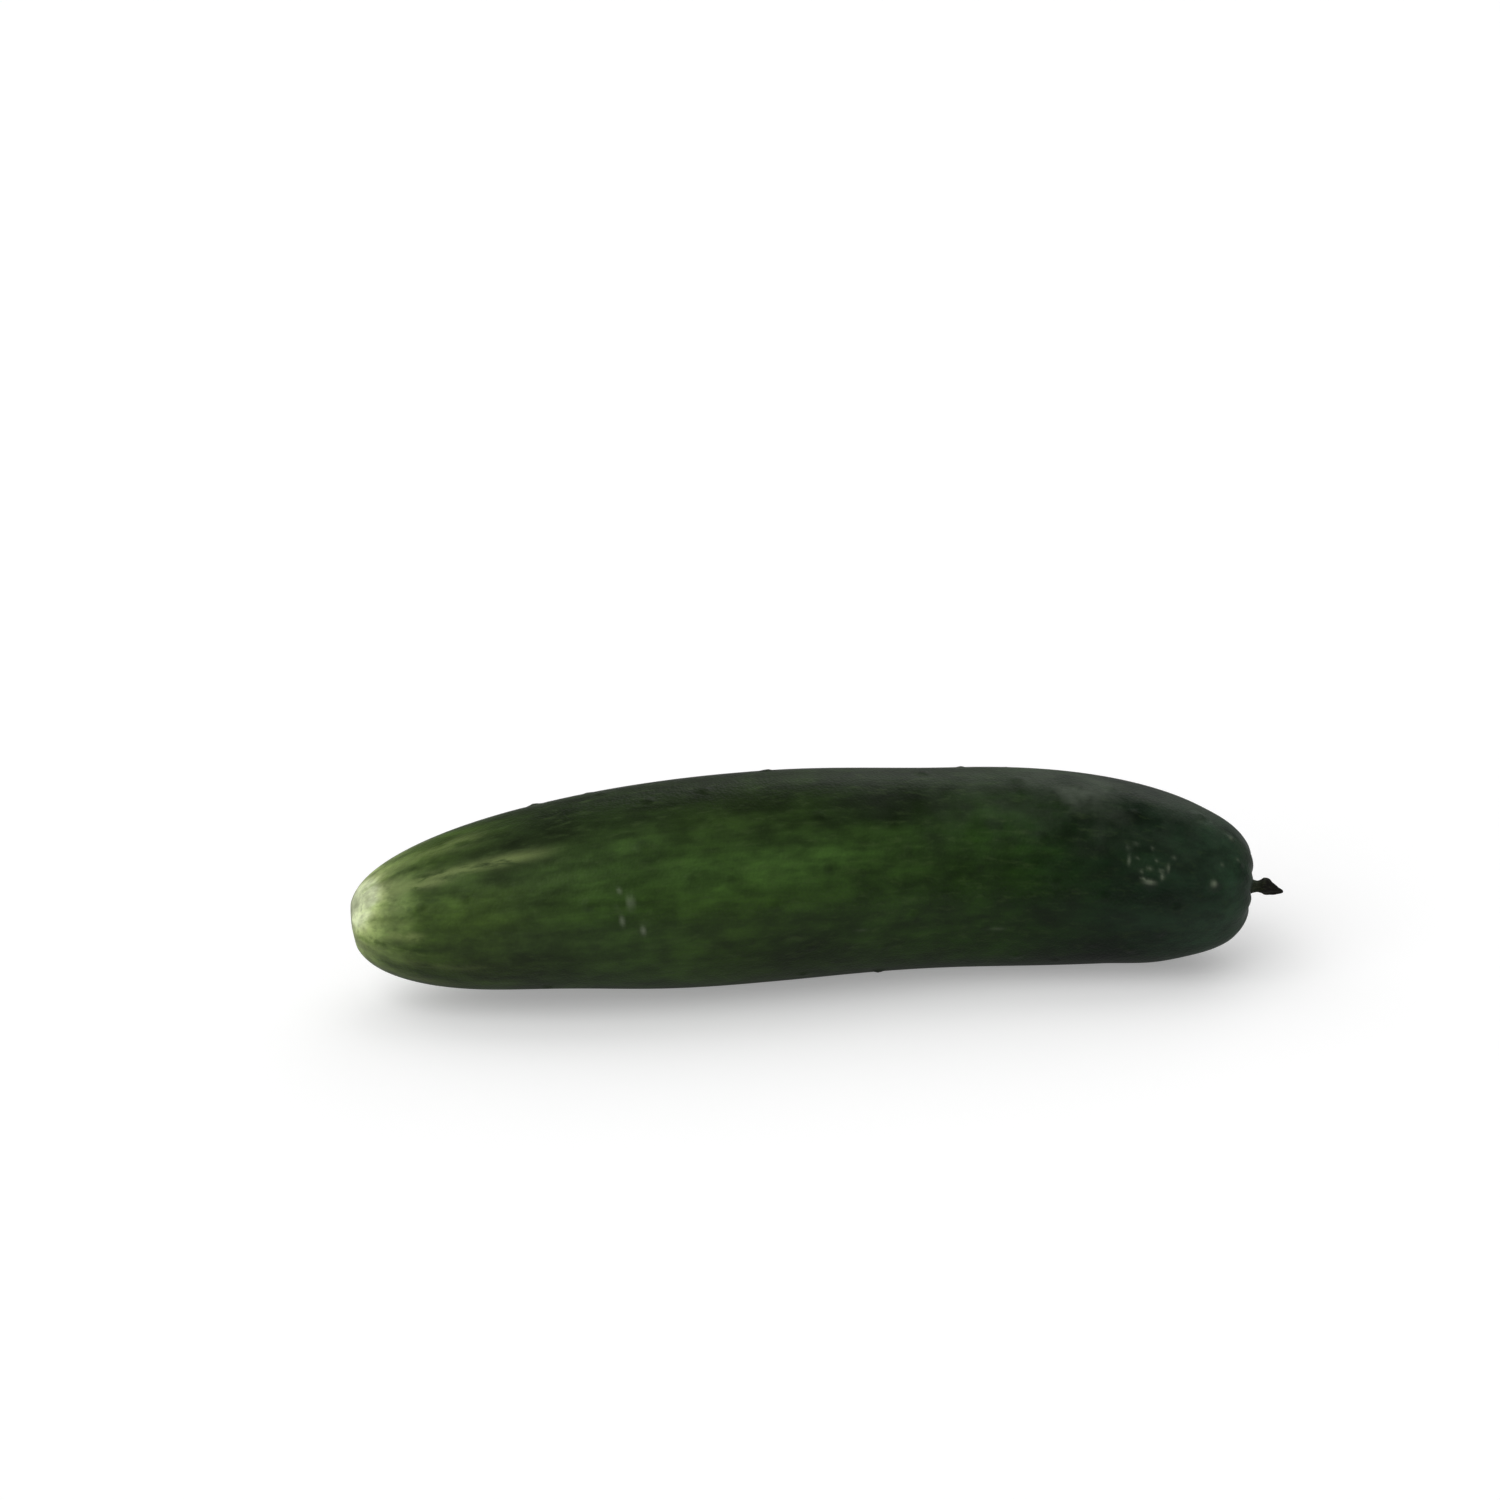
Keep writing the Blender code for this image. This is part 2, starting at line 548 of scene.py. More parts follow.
def new_group(name: str, inputs: dict[str, str],
              outputs: dict[str, str]) -> tuple[bpy.types.NodeTree, NodeSheet, dict, dict]:
    """Make an empty shader node group with named sockets.

    Args:
        name: The group's name.
        inputs: Input names to socket types.
        outputs: Output names to socket types.

    Returns:
        The group, a sheet to add nodes with, its input sockets and its output sockets by name.
    """
    group = bpy.data.node_groups.new(name, "ShaderNodeTree")
    for socket, kind in inputs.items():
        group.interface.new_socket(socket, in_out="INPUT", socket_type=kind)
    for socket, kind in outputs.items():
        group.interface.new_socket(socket, in_out="OUTPUT", socket_type=kind)
    sheet = NodeSheet(group)
    entry = sheet.add("NodeGroupInput")
    leave = sheet.add("NodeGroupOutput")
    given = {socket: entry.outputs[socket] for socket in inputs}
    wanted = {socket: leave.inputs[socket] for socket in outputs}
    return group, sheet, given, wanted


FLOAT = "NodeSocketFloat"
VECTOR = "NodeSocketVector"
COLOUR = "NodeSocketColor"


def fleck_group() -> bpy.types.NodeTree:
    """Make the group that scatters soft irregular flecks over a surface.

    Returns:
        The node group.
    """
    group, sheet, given, wanted = new_group(
        "flecks",
        {"Coordinates": VECTOR, "Per Metre": FLOAT, "Threshold": FLOAT, "Softness": FLOAT},
        {"Mask": FLOAT},
    )
    clouds = sheet.noise(given["Coordinates"], given["Per Metre"], detail=4.0, roughness=0.62,
                         distortion=0.35)
    top = sheet.calculate("ADD", given["Threshold"], given["Softness"])
    mask = sheet.add("ShaderNodeMapRange", {
        "Value": clouds, "From Min": given["Threshold"], "From Max": top,
    }, interpolation_type="SMOOTHSTEP")
    sheet.feed(wanted["Mask"], mask.outputs["Result"])
    return group


def relief_group() -> bpy.types.NodeTree:
    """Make the group that gives plant skin its fine pores and shallow wrinkles.

    Returns:
        The node group.
    """
    group, sheet, given, wanted = new_group(
        "skin_relief",
        {"Coordinates": VECTOR, "Pores Per Metre": FLOAT, "Wrinkles Per Metre": FLOAT,
         "Wrinkle Share": FLOAT},
        {"Height": FLOAT},
    )
    pores = sheet.add("ShaderNodeTexVoronoi", {
        "Vector": given["Coordinates"], "Scale": given["Pores Per Metre"],
        "Randomness": 1.0, "Smoothness": 0.6,
    }, feature="SMOOTH_F1")
    wrinkles = sheet.noise(given["Coordinates"], given["Wrinkles Per Metre"], detail=5.0,
                           roughness=0.55, distortion=0.6)
    folds = sheet.calculate("MULTIPLY", wrinkles, given["Wrinkle Share"])
    sheet.feed(wanted["Height"], sheet.calculate("ADD", pores.outputs["Distance"], folds))
    return group


def bloom_and_sheen_group() -> bpy.types.NodeTree:
    """Make the group that lays a thin patchy greyish film over a colour and dulls its gloss; on the
    fruit the film is partly wax bloom and partly painted sheen.

    Returns:
        The node group.
    """
    group, sheet, given, wanted = new_group(
        "bloom_and_sheen",
        {"Colour": COLOUR, "Film": COLOUR, "Coordinates": VECTOR, "Amount": FLOAT,
         "Roughness": FLOAT},
        {"Colour": COLOUR, "Roughness": FLOAT},
    )
    patches_per_metre, dulling = 70.0, 0.35
    bare, covered = 0.30, 0.74
    clouds = sheet.noise(given["Coordinates"], patches_per_metre, detail=5.0, roughness=0.6)
    patches = sheet.span(clouds, bare, covered)
    share = sheet.calculate("MULTIPLY", patches, given["Amount"], clamp=True)
    sheet.feed(wanted["Colour"], sheet.blend(share, given["Colour"], given["Film"]))
    dulled = sheet.calculate("MULTIPLY", share, dulling)
    sheet.feed(wanted["Roughness"], sheet.calculate("ADD", given["Roughness"], dulled, clamp=True))
    return group


class GroupShelf:
    """The shared node groups, each made once when it is first asked for."""

    makers: dict[str, Callable[[], bpy.types.NodeTree]] = {
        "flecks": fleck_group,
        "skin_relief": relief_group,
        "bloom_and_sheen": bloom_and_sheen_group,
    }

    def __init__(self) -> None:
        """Start with an empty shelf."""
        self.made: dict[str, bpy.types.NodeTree] = {}

    def place(self, sheet: NodeSheet, name: str, inputs: dict) -> bpy.types.Node:
        """Place a shared group in a material with its own values.

        Args:
            sheet: The material's nodes.
            name: The group's name.
            inputs: Input names to plain values or outputs.

        Returns:
            The group's node.
        """
        if name not in self.made:
            self.made[name] = self.makers[name]()
        node = sheet.add("ShaderNodeGroup", node_tree=self.made[name])
        for socket, value in inputs.items():
            sheet.feed(node.inputs[socket], value)
        return node


# --------------------------------------------------------------------------------------------
# Finishes
# --------------------------------------------------------------------------------------------

def blank_material(name: str) -> tuple[bpy.types.Material, NodeSheet, bpy.types.Node]:
    """Make a material with one Principled shader.

    Args:
        name: The material's name.

    Returns:
        The material, a sheet to add nodes with and the shader.
    """
    material = bpy.data.materials.new(name)
    material.use_nodes = True
    shader = material.node_tree.nodes["Principled BSDF"]
    return material, NodeSheet(material.node_tree), shader


@dataclass(frozen=True)
class Mottling:
    """Soft light and dark patches: their stretch, their waves a metre and their two tones."""

    stretch: float
    per_metre: float
    darkest: float
    lightest: float
    troughs: float = 0.30
    crests: float = 0.70

    def lay(self, sheet: NodeSheet, straight: bpy.types.NodeSocket,
            colour: bpy.types.NodeSocket) -> bpy.types.NodeSocket:
        """Mottle a colour.

        Args:
            sheet: The material's nodes.
            straight: The places on the straight piece.
            colour: The colour to mottle.

        Returns:
            The mottled colour.
        """
        waves = sheet.noise(sheet.stretched(straight, self.stretch), self.per_metre, detail=3.0,
                            roughness=0.55)
        tone = sheet.span(waves, self.troughs, self.crests, self.darkest, self.lightest)
        return sheet.blend(1.0, colour, tone, "MULTIPLY")


@dataclass(frozen=True)
class Flecks:
    """Irregular flecks: their stretch, how many a metre, where they begin and how soft they are."""

    stretch: float
    per_metre: float
    threshold: float
    softness: float

    def scatter(self, shelf: GroupShelf, sheet: NodeSheet,
                straight: bpy.types.NodeSocket) -> bpy.types.NodeSocket:
        """Scatter the flecks.

        Args:
            shelf: The shared node groups.
            sheet: The material's nodes.
            straight: The places on the straight piece.

        Returns:
            How strongly each point lies in a fleck.
        """
        node = shelf.place(sheet, "flecks", {
            "Coordinates": sheet.stretched(straight, self.stretch),
            "Per Metre": self.per_metre, "Threshold": self.threshold, "Softness": self.softness,
        })
        return node.outputs["Mask"]


@dataclass(frozen=True)
class PlantSurface:
    """The outermost layer of a plant's finish: its waxy film, gloss, pores and wrinkles.

    Pores and wrinkles are counts a metre, and the relief's depth is in metres.
    """

    film: Colour
    roughness: float
    gloss: float
    pores: float
    wrinkles: float
    wrinkle_share: float
    relief_strength: float
    relief_depth: float

    def lay(self, shelf: GroupShelf, shader: bpy.types.Node, sheet: NodeSheet,
            colour: bpy.types.NodeSocket, amount: object, straight: bpy.types.NodeSocket,
            grain: bpy.types.NodeSocket) -> None:
        """Lay the film over a colour, press in the relief and feed both to the shader.

        Args:
            shelf: The shared node groups.
            shader: The material's shader.
            sheet: The material's nodes.
            colour: The finished colour under the film.
            amount: How thick the film is.
            straight: The places on the straight piece.
            grain: The same places, stretched as the relief is.
        """
        bloom = shelf.place(sheet, "bloom_and_sheen", {
            "Colour": colour, "Film": (*self.film, 1.0), "Coordinates": straight,
            "Amount": amount, "Roughness": self.roughness,
        })
        relief = shelf.place(sheet, "skin_relief", {
            "Coordinates": grain, "Pores Per Metre": self.pores,
            "Wrinkles Per Metre": self.wrinkles, "Wrinkle Share": self.wrinkle_share,
        })
        bump = sheet.add("ShaderNodeBump", {
            "Height": relief.outputs["Height"], "Strength": self.relief_strength,
            "Distance": self.relief_depth,
        })
        sheet.feed(shader.inputs["Base Color"], bloom.outputs["Colour"])
        sheet.feed(shader.inputs["Roughness"], bloom.outputs["Roughness"])
        sheet.feed(shader.inputs["Normal"], bump.outputs["Normal"])
        shader.inputs["Specular IOR Level"].default_value = self.gloss


@dataclass(frozen=True)
class CucumberSkin:
    """Waxy cucumber skin: pale at the blossom end, mottled green, blue-green at the stem."""

    zones: tuple[tuple[float, Colour], ...] = (
        (0.000, (0.600, 0.670, 0.400)),
        (0.010, (0.400, 0.465, 0.222)),
        (0.020, (0.272, 0.330, 0.128)),
        (0.034, (0.212, 0.276, 0.092)),
        (0.056, (0.146, 0.208, 0.060)),
        (0.092, (0.045, 0.082, 0.012)),
        (0.185, (0.025, 0.048, 0.009)),
        (0.280, (0.030, 0.065, 0.010)),
        (0.400, (0.022, 0.049, 0.005)),
        (0.540, (0.017, 0.041, 0.005)),
        (0.700, (0.010, 0.031, 0.002)),
        (0.850, (0.003, 0.015, 0.003)),
        (1.000, (0.016, 0.040, 0.020)),
    )
    zone_wander: float = 0.12
    wander_stretch: float = 0.10
    wander_per_metre: float = 240.0
    wander_rise: tuple[float, float] = (0.0, 0.12)
    wander_at_tip: float = 0.12
    # Partly paler skin, partly painted light: the lit band across the front of the middle.
    pale_and_lit_belly: Colour = (0.050, 0.112, 0.020)
    pale_and_lit_belly_share: float = 0.7
    # Painted shade: how far the upper side is darkened to stand for shade.
    crown_shade_depth: float = 0.60
    mottlings: tuple[Mottling, ...] = (
        Mottling(0.45, 70.0, 0.70, 1.34),
        Mottling(0.55, 260.0, 0.75, 1.32),
        Mottling(0.14, 400.0, 0.84, 1.18),
    )
    fleck: Colour = (0.058, 0.098, 0.026)
    flecks: Flecks = Flecks(0.30, 700.0, 0.50, 0.26)
    fleck_fade: tuple[float, float] = (0.55, 0.95)
    fleck_shares: tuple[float, float] = (0.42, 0.16)
    streak: Colour = (0.195, 0.255, 0.080)
    furrow: Colour = (0.480, 0.560, 0.360)
    breaks: Flecks = Flecks(0.12, 520.0, 0.30, 0.28)
    wart_slope: tuple[float, float] = (0.10, 0.60)
    wart_tone: float = 0.82
    # Pale scars and scuffs, partly painted glints on the warts.
    scar_and_glint: Colour = (0.250, 0.290, 0.200)
    cork: Colour = (0.175, 0.145, 0.070)
    surface: PlantSurface = PlantSurface(
        film=(0.125, 0.152, 0.112), roughness=0.40, gloss=0.32, pores=1500.0, wrinkles=420.0,
        wrinkle_share=1.3, relief_strength=0.35, relief_depth=0.00022)

    def make(self, shelf: GroupShelf) -> bpy.types.Material:
        """Make the material.

        Args:
            shelf: The shared node groups.

        Returns:
            The material, which reads the fruit's own attributes.
        """
        material, sheet, shader = blank_material("cucumber_skin")
        straight = sheet.read("straight", "Vector")
        along = sheet.read("along")
        colour = self.ground(sheet, straight, along)
        for mottling in self.mottlings:
            colour = mottling.lay(sheet, straight, colour)
        colour = self.markings(shelf, sheet, straight, along, colour)
        # The film laid here is partly wax bloom and partly painted sheen along the top, with a
        # painted highlight patch.
        self.surface.lay(shelf, shader, sheet, colour, sheet.read("wax_and_sheen"), straight, straight)
        return material

    def ground(self, sheet: NodeSheet, straight: bpy.types.NodeSocket,
               along: bpy.types.NodeSocket) -> bpy.types.NodeSocket:
        """Colour the skin's zones, with ragged borders, its belly, partly painted light, and
        painted shade on top.

        Args:
            sheet: The material's nodes.
            straight: The places on the straight fruit.
            along: Fractions of its length.

        Returns:
            The ground colour.
        """
        waves = sheet.noise(sheet.stretched(straight, self.wander_stretch),
                            self.wander_per_metre, detail=3.0, roughness=0.55)
        shift = sheet.calculate("MULTIPLY_ADD", waves, self.zone_wander, -self.zone_wander / 2.0)
        taper = sheet.span(along, *self.wander_rise, self.wander_at_tip, 1.0)
        edge = sheet.calculate("ADD", sheet.read("zone"), sheet.calculate("MULTIPLY", shift, taper))
        colour = sheet.ramp(edge, self.zones)
        # The belly's brighter green is partly painted light falling on the front.
        share = sheet.calculate("MULTIPLY", sheet.read("pale_and_lit_belly"), self.pale_and_lit_belly_share)
        colour = sheet.blend(share, colour, (*self.pale_and_lit_belly, 1.0))
        # Painted shade: the upper side is darkened where shade falls on it.
        depth = sheet.calculate("MULTIPLY_ADD", sheet.read("crown_shade"), -self.crown_shade_depth, 1.0)
        return sheet.blend(1.0, colour, depth, "MULTIPLY")

    def markings(self, shelf: GroupShelf, sheet: NodeSheet, straight: bpy.types.NodeSocket,
                 along: bpy.types.NodeSocket,
                 colour: bpy.types.NodeSocket) -> bpy.types.NodeSocket:
        """Add the flecks, the streaks and the furrows between them, the warts, and the scars and
        scuffs, partly painted glints.

        Args:
            shelf: The shared node groups.
            sheet: The material's nodes.
            straight: The places on the straight fruit.
            along: Fractions of its length.
            colour: The ground colour.

        Returns:
            The marked colour.
        """
        pale = self.flecks.scatter(shelf, sheet, straight)
        fade = sheet.span(along, *self.fleck_fade, *self.fleck_shares)
        colour = sheet.blend(sheet.calculate("MULTIPLY", pale, fade), colour, (*self.fleck, 1.0))
        broken = self.breaks.scatter(shelf, sheet, straight)
        for name, paint, mode in (("furrow", self.furrow, "MULTIPLY"),
                                  ("streak", self.streak, "LIGHTEN")):
            line = sheet.calculate("MULTIPLY", sheet.read(name), broken)
            colour = sheet.blend(line, colour, (*paint, 1.0), mode)
        tone = sheet.span(sheet.read("wart"), *self.wart_slope, 1.0, self.wart_tone)
        colour = sheet.blend(1.0, colour, tone, "MULTIPLY")
        # Pale scuffs, partly painted glints where the placed warts catch the light.
        for name, paint in (("scar_and_glint", self.scar_and_glint), ("cork", self.cork)):
            colour = sheet.blend(sheet.read(name), colour, (*paint, 1.0))
        return colour


@dataclass(frozen=True)
class DriedStem:
    """A stem stub, grey-green and fibrous at its neck and nearly black where it has dried."""

    zones: tuple[tuple[float, Colour], ...] = (
        (0.00, linear(52, 64, 44)),
        (0.20, linear(52, 64, 44)),
        (0.38, linear(38, 42, 30)),
        (0.52, linear(19, 18, 15)),
        (1.00, linear(19, 18, 15)),
    )
    zone_wander: float = 0.30
    grain_stretch: float = 0.12
    wander_per_metre: float = 1500.0
    fibre: Colour = linear(96, 98, 72)
    fibres: Flecks = Flecks(0.12, 2600.0, 0.52, 0.10)
    fibre_fade: tuple[float, float] = (0.30, 0.75)
    fibre_shares: tuple[float, float] = (0.40, 0.10)
    film_amount: float = 0.06
    surface: PlantSurface = PlantSurface(
        film=linear(120, 122, 104), roughness=0.66, gloss=0.30, pores=3600.0, wrinkles=2200.0,
        wrinkle_share=1.6, relief_strength=0.6, relief_depth=0.00018)

    def make(self, shelf: GroupShelf) -> bpy.types.Material:
        """Make the material.

        Args:
            shelf: The shared node groups.

        Returns:
            The material, which reads the stem's own attributes.
        """
        material, sheet, shader = blank_material("dry_stem")
        along = sheet.read("along")
        straight = sheet.read("straight", "Vector")
        grain = sheet.stretched(straight, self.grain_stretch)
        waves = sheet.noise(grain, self.wander_per_metre, detail=3.0, roughness=0.6)
        shift = sheet.calculate("MULTIPLY_ADD", waves, self.zone_wander, -self.zone_wander / 2.0)
        colour = sheet.ramp(sheet.calculate("ADD", along, shift), self.zones)
        pale = self.fibres.scatter(shelf, sheet, straight)
        fade = sheet.span(along, *self.fibre_fade, *self.fibre_shares)
        colour = sheet.blend(sheet.calculate("MULTIPLY", pale, fade), colour, (*self.fibre, 1.0))
        self.surface.lay(shelf, shader, sheet, colour, self.film_amount, straight, grain)
        return material


@dataclass(frozen=True)
class StudioFloor:
    """A plain matt white floor, lit a little from within, that throws less light back up."""

    seen: Colour = (0.79, 0.79, 0.79)
    thrown_back: Colour = (0.30, 0.30, 0.30)
    glow_seen: float = 0.30
    glow_thrown: float = 0.10
    roughness: float = 0.9

    def make(self) -> bpy.types.Material:
        """Make the material.

        Returns:
            The material, brighter to the camera than to the light that falls on it.
        """
        material, sheet, shader = blank_material("studio_floor")
        seen = sheet.add("ShaderNodeLightPath").outputs["Is Camera Ray"]
        colour = sheet.blend(seen, (*self.thrown_back, 1.0), (*self.seen, 1.0))
        sheet.feed(shader.inputs["Base Color"], colour)
        more = self.glow_seen - self.glow_thrown
        glow = sheet.calculate("MULTIPLY_ADD", seen, more, self.glow_thrown)
        sheet.feed(shader.inputs["Emission Strength"], glow)
        shader.inputs["Emission Color"].default_value = WHITE
        shader.inputs["Roughness"].default_value = self.roughness
        shader.inputs["Specular IOR Level"].default_value = 0.0
        return material


# --------------------------------------------------------------------------------------------
# The fruit
# --------------------------------------------------------------------------------------------

class WartKind(Enum):
    """The kinds of wart on the skin, as shares of the largest wart."""

    BROAD = 1.00
    PLAIN = 0.72
    SMALL = 0.48


@dataclass(frozen=True)
class Wart:
    """One wart: its place along and around the fruit, in degrees up from the -Y side."""

    along: float
    around: float
    kind: WartKind


@dataclass(frozen=True)
class ScuffAndGlint:
    """One pale mark in the skin, partly a scuff and partly a painted glint on a wart: its place, as
    a wart's, and its half length and half width.
    """

    along: float
    around: float
    length: float
    width: float
    strength: float


@dataclass(frozen=True)
class Streak:
    """One line that runs up from the blossom end: where it lies, how far it goes and how wide.

    The angle is in degrees up from the -Y side, the ends are fractions of the length and the
    width is in degrees.
    """

    around: float
    start: float
    reach: float
    width: float
    strength: float


@dataclass(frozen=True)
class Stretch:
    """A part of the length: the fractions where it fades in and those where it fades out."""

    rise: tuple[float, float]
    fall: tuple[float, float]

    def share(self, along: Values) -> Values:
        """Return 1 within the part and 0 outside it, with soft ends."""
        return smooth_step(*self.rise, along) * (1.0 - smooth_step(*self.fall, along))


@dataclass(frozen=True)
class SkinPlaces:
    """Where each point of the straight skin lies: along, around and off the fruit's axis."""

    points: Values
    along: Values
    turn: Values
    around: Values
    off_axis: Values

    @classmethod
    def of(cls, points: Values, length: float) -> "SkinPlaces":
        """Work out where points lie.

        Args:
            points: Rows of three on the straight fruit.
            length: The straight fruit's length.

        Returns:
            Their places, the turn in radians and around in degrees, up from the -Y side.
        """
        along = np.clip(points[:, 0] / length, 0.0, 1.0)
        turn = np.arctan2(points[:, 2], -points[:, 1])
        return cls(points, along, turn, np.degrees(turn), np.linalg.norm(points[:, 1:], axis=1))


@dataclass
class SkinMarks:
    """The marks that the fruit's mesh carries for its material: its zones, lines and patches."""

    spine: Spine = field(default_factory=Spine)

    # The blossom end is paler; its upper side is lightened further as painted light.
    pale_fade: tuple[float, float] = (0.05, 0.16)
    pale_and_lit_side: float = 1.2
    pale_and_lit_reach: float = 0.013
    pale_base: float = 0.006
    pole_width: float = 0.005
    lit_cap_fade: tuple[float, float] = (0.02, 0.08)
    lit_cap_side: float = 1.10
    lit_cap_reach: float = 0.048
    lit_cap_base: float = 0.012
    face_depth: float = 0.018
    face_width: float = 0.007
    collar_depth: float = 0.014
    collar_reach: float = 0.05

    line_wander: float = 5.0
    line_gather: float = 7.0
    gather_reach: float = 0.05
    line_rise: float = 0.4
    line_fade: float = 0.7

    cork_width: float = 0.0014
    cork_lobes: int = 5
    cork_lobe_share: float = 0.3

    # Where the belly's paler, partly painted-lit field lies on the front.
    belly_part: Stretch = Stretch((0.20, 0.40), (0.48, 0.66))
    belly_side: float = 30.0
    belly_width: float = 19.0
    belly_clouds: float = 0.55

    # Where the painted shade on the upper side lies, and the dip where it reaches further down the
    # front.
    crown_part: Stretch = Stretch((0.12, 0.26), (0.62, 0.80))
    crown_edge: float = 50.0
    crown_edge_rise: float = 16.0
    crown_edge_part: tuple[float, float] = (0.24, 0.34)
    crown_edge_wander: float = 7.0
    crown_dip: float = 16.0
    crown_dip_at: float = 0.585
    crown_dip_width: float = 0.045
    crown_softness: float = 15.0
    crown_back: tuple[float, float] = (118.0, 150.0)
    crown_left_at_stem: float = 0.5

    # A thin wax film everywhere; on top of the stem half it is partly painted sheen, and the patch
    # is a painted highlight.
    wax_and_sheen_side: float = 95.0
    wax_and_sheen_width: float = 48.0
    wax_and_sheen_part: tuple[float, float] = (0.45, 0.85)
    dust_everywhere: float = 0.02
    wax_and_sheen_on_top: float = 0.36
    painted_sheen_patch: float = 0.30
    painted_sheen_at: float = 0.80
    painted_sheen_length: float = 0.040
    painted_sheen_side: float = -20.0
    painted_sheen_width: float = 24.0

    streaks: tuple[Streak, ...] = (
        Streak(49.0, 0.015, 0.130, 4.2, 0.80),
        Streak(53.0, 0.080, 0.240, 3.8, 0.78),
        Streak(17.0, 0.015, 0.085, 4.5, 0.22),
        Streak(5.0, 0.010, 0.086, 4.2, 1.00),
        Streak(-22.0, 0.070, 0.170, 3.4, 0.22),
        Streak(-47.0, 0.020, 0.120, 5.0, 0.45),
        Streak(80.0, 0.020, 0.170, 7.0, 0.45),
        Streak(104.0, 0.030, 0.120, 4.5, 0.50),
        Streak(136.0, 0.015, 0.220, 5.0, 0.80),
        Streak(171.0, 0.020, 0.110, 5.5, 0.60),
        Streak(-84.0, 0.015, 0.160, 5.0, 0.65),
        Streak(-118.0, 0.020, 0.130, 4.5, 0.55),
        Streak(-152.0, 0.015, 0.200, 5.0, 0.75),
    )
    furrows: tuple[Streak, ...] = (
        Streak(66.0, 0.028, 0.150, 3.6, 0.75),
        Streak(36.0, 0.030, 0.150, 5.0, 0.60),
        Streak(20.0, 0.018, 0.080, 4.5, 0.60),
        Streak(-8.0, 0.010, 0.095, 5.0, 1.00),
        Streak(-33.0, 0.030, 0.140, 4.0, 0.50),
        Streak(92.0, 0.030, 0.120, 4.0, 0.50),
        Streak(121.0, 0.025, 0.140, 5.0, 0.60),
        Streak(154.0, 0.030, 0.150, 5.0, 0.60),
        Streak(-134.0, 0.025, 0.130, 5.0, 0.55),
        Streak(-168.0, 0.030, 0.110, 4.5, 0.50),
    )
    # Pale scuffs; many sit on the placed warts as painted glints.
    scuffs_and_glints: tuple[ScuffAndGlint, ...] = (
        ScuffAndGlint(0.280, 25.0, 0.0006, 0.0009, 0.42),
        ScuffAndGlint(0.290, 18.0, 0.0006, 0.0021, 0.85),
        ScuffAndGlint(0.280, 8.0, 0.0006, 0.0015, 0.52),
        ScuffAndGlint(0.300, 1.5, 0.0006, 0.0014, 0.70),
        ScuffAndGlint(0.307, 5.0, 0.0004, 0.0009, 0.25),
        ScuffAndGlint(0.274, 16.0, 0.0004, 0.0010, 0.22),
        ScuffAndGlint(0.360, 22.0, 0.0004, 0.0008, 0.20),
        ScuffAndGlint(0.706, -14.0, 0.0028, 0.0006, 0.20),
        ScuffAndGlint(0.540, -10.0, 0.0020, 0.0005, 0.14),
        ScuffAndGlint(0.888, 19.2, 0.0022, 0.0007, 0.66),
        ScuffAndGlint(0.880, 21.0, 0.0008, 0.0005, 0.40),
        ScuffAndGlint(0.901, 23.7, 0.0006, 0.0010, 0.48),
        ScuffAndGlint(0.906, 30.0, 0.0005, 0.0012, 0.42),
        ScuffAndGlint(0.899, 27.5, 0.0009, 0.0005, 0.36),
        ScuffAndGlint(0.886, 28.2, 0.0010, 0.0006, 0.32),
        ScuffAndGlint(0.877, 25.6, 0.0006, 0.0006, 0.30),
        ScuffAndGlint(0.862, 31.5, 0.0004, 0.0013, 0.36),
        ScuffAndGlint(0.860, 39.8, 0.0004, 0.0009, 0.28),
        ScuffAndGlint(0.868, 43.0, 0.0010, 0.0004, 0.26),
        ScuffAndGlint(0.887, 41.8, 0.0005, 0.0006, 0.22),
        ScuffAndGlint(0.893, 34.0, 0.0005, 0.0005, 0.32),
        ScuffAndGlint(0.911, 38.0, 0.0007, 0.0006, 0.24),
        ScuffAndGlint(0.871, 34.0, 0.0007, 0.0004, 0.26),
        ScuffAndGlint(0.955, 23.0, 0.0009, 0.0010, 0.66),
        ScuffAndGlint(0.961, 41.0, 0.0006, 0.0006, 0.25),
        ScuffAndGlint(0.966, 72.0, 0.0007, 0.0008, 0.42),
        ScuffAndGlint(0.976, 52.0, 0.0005, 0.0006, 0.25),
    )

    def store(self, mesh: bpy.types.Mesh, skin: SkinPlaces) -> None:
        """Store all the marks on the mesh.

        Args:
            mesh: The fruit's mesh.
            skin: Where its points lie.
        """
        store_vectors(mesh, "straight", skin.points)
        store_values(mesh, "along", skin.along)
        store_values(mesh, "zone", self.zones(skin))
        store_values(mesh, "streak", self.lines(self.streaks, skin))
        store_values(mesh, "furrow", self.lines(self.furrows, skin))
        store_values(mesh, "scar_and_glint", self.scuffed_and_glinting(skin))
        store_values(mesh, "cork", self.cork(skin))
        store_values(mesh, "pale_and_lit_belly", self.pale_and_lit_belly(skin))
        store_values(mesh, "crown_shade", self.crown_shade(skin))
        store_values(mesh, "wax_and_sheen", self.wax_and_sheen(skin))

    def zones(self, skin: SkinPlaces) -> Values:
        """Lay out the colour zones, the tip's paler on its upper front, partly paler skin and
        partly painted light from above.

        Args:
            skin: Where the points lie.

        Returns:
            Fractions of the length, less where the skin is paler than its place would make it.
        """
        near_tip = 1.0 - smooth_step(*self.pale_fade, skin.along)
        off_pole = 1.0 - bell(skin.off_axis, 0.0, self.pole_width)
        paler_and_lit = self.pale_and_lit_reach * np.cos(skin.turn - self.pale_and_lit_side) * off_pole - self.pale_base
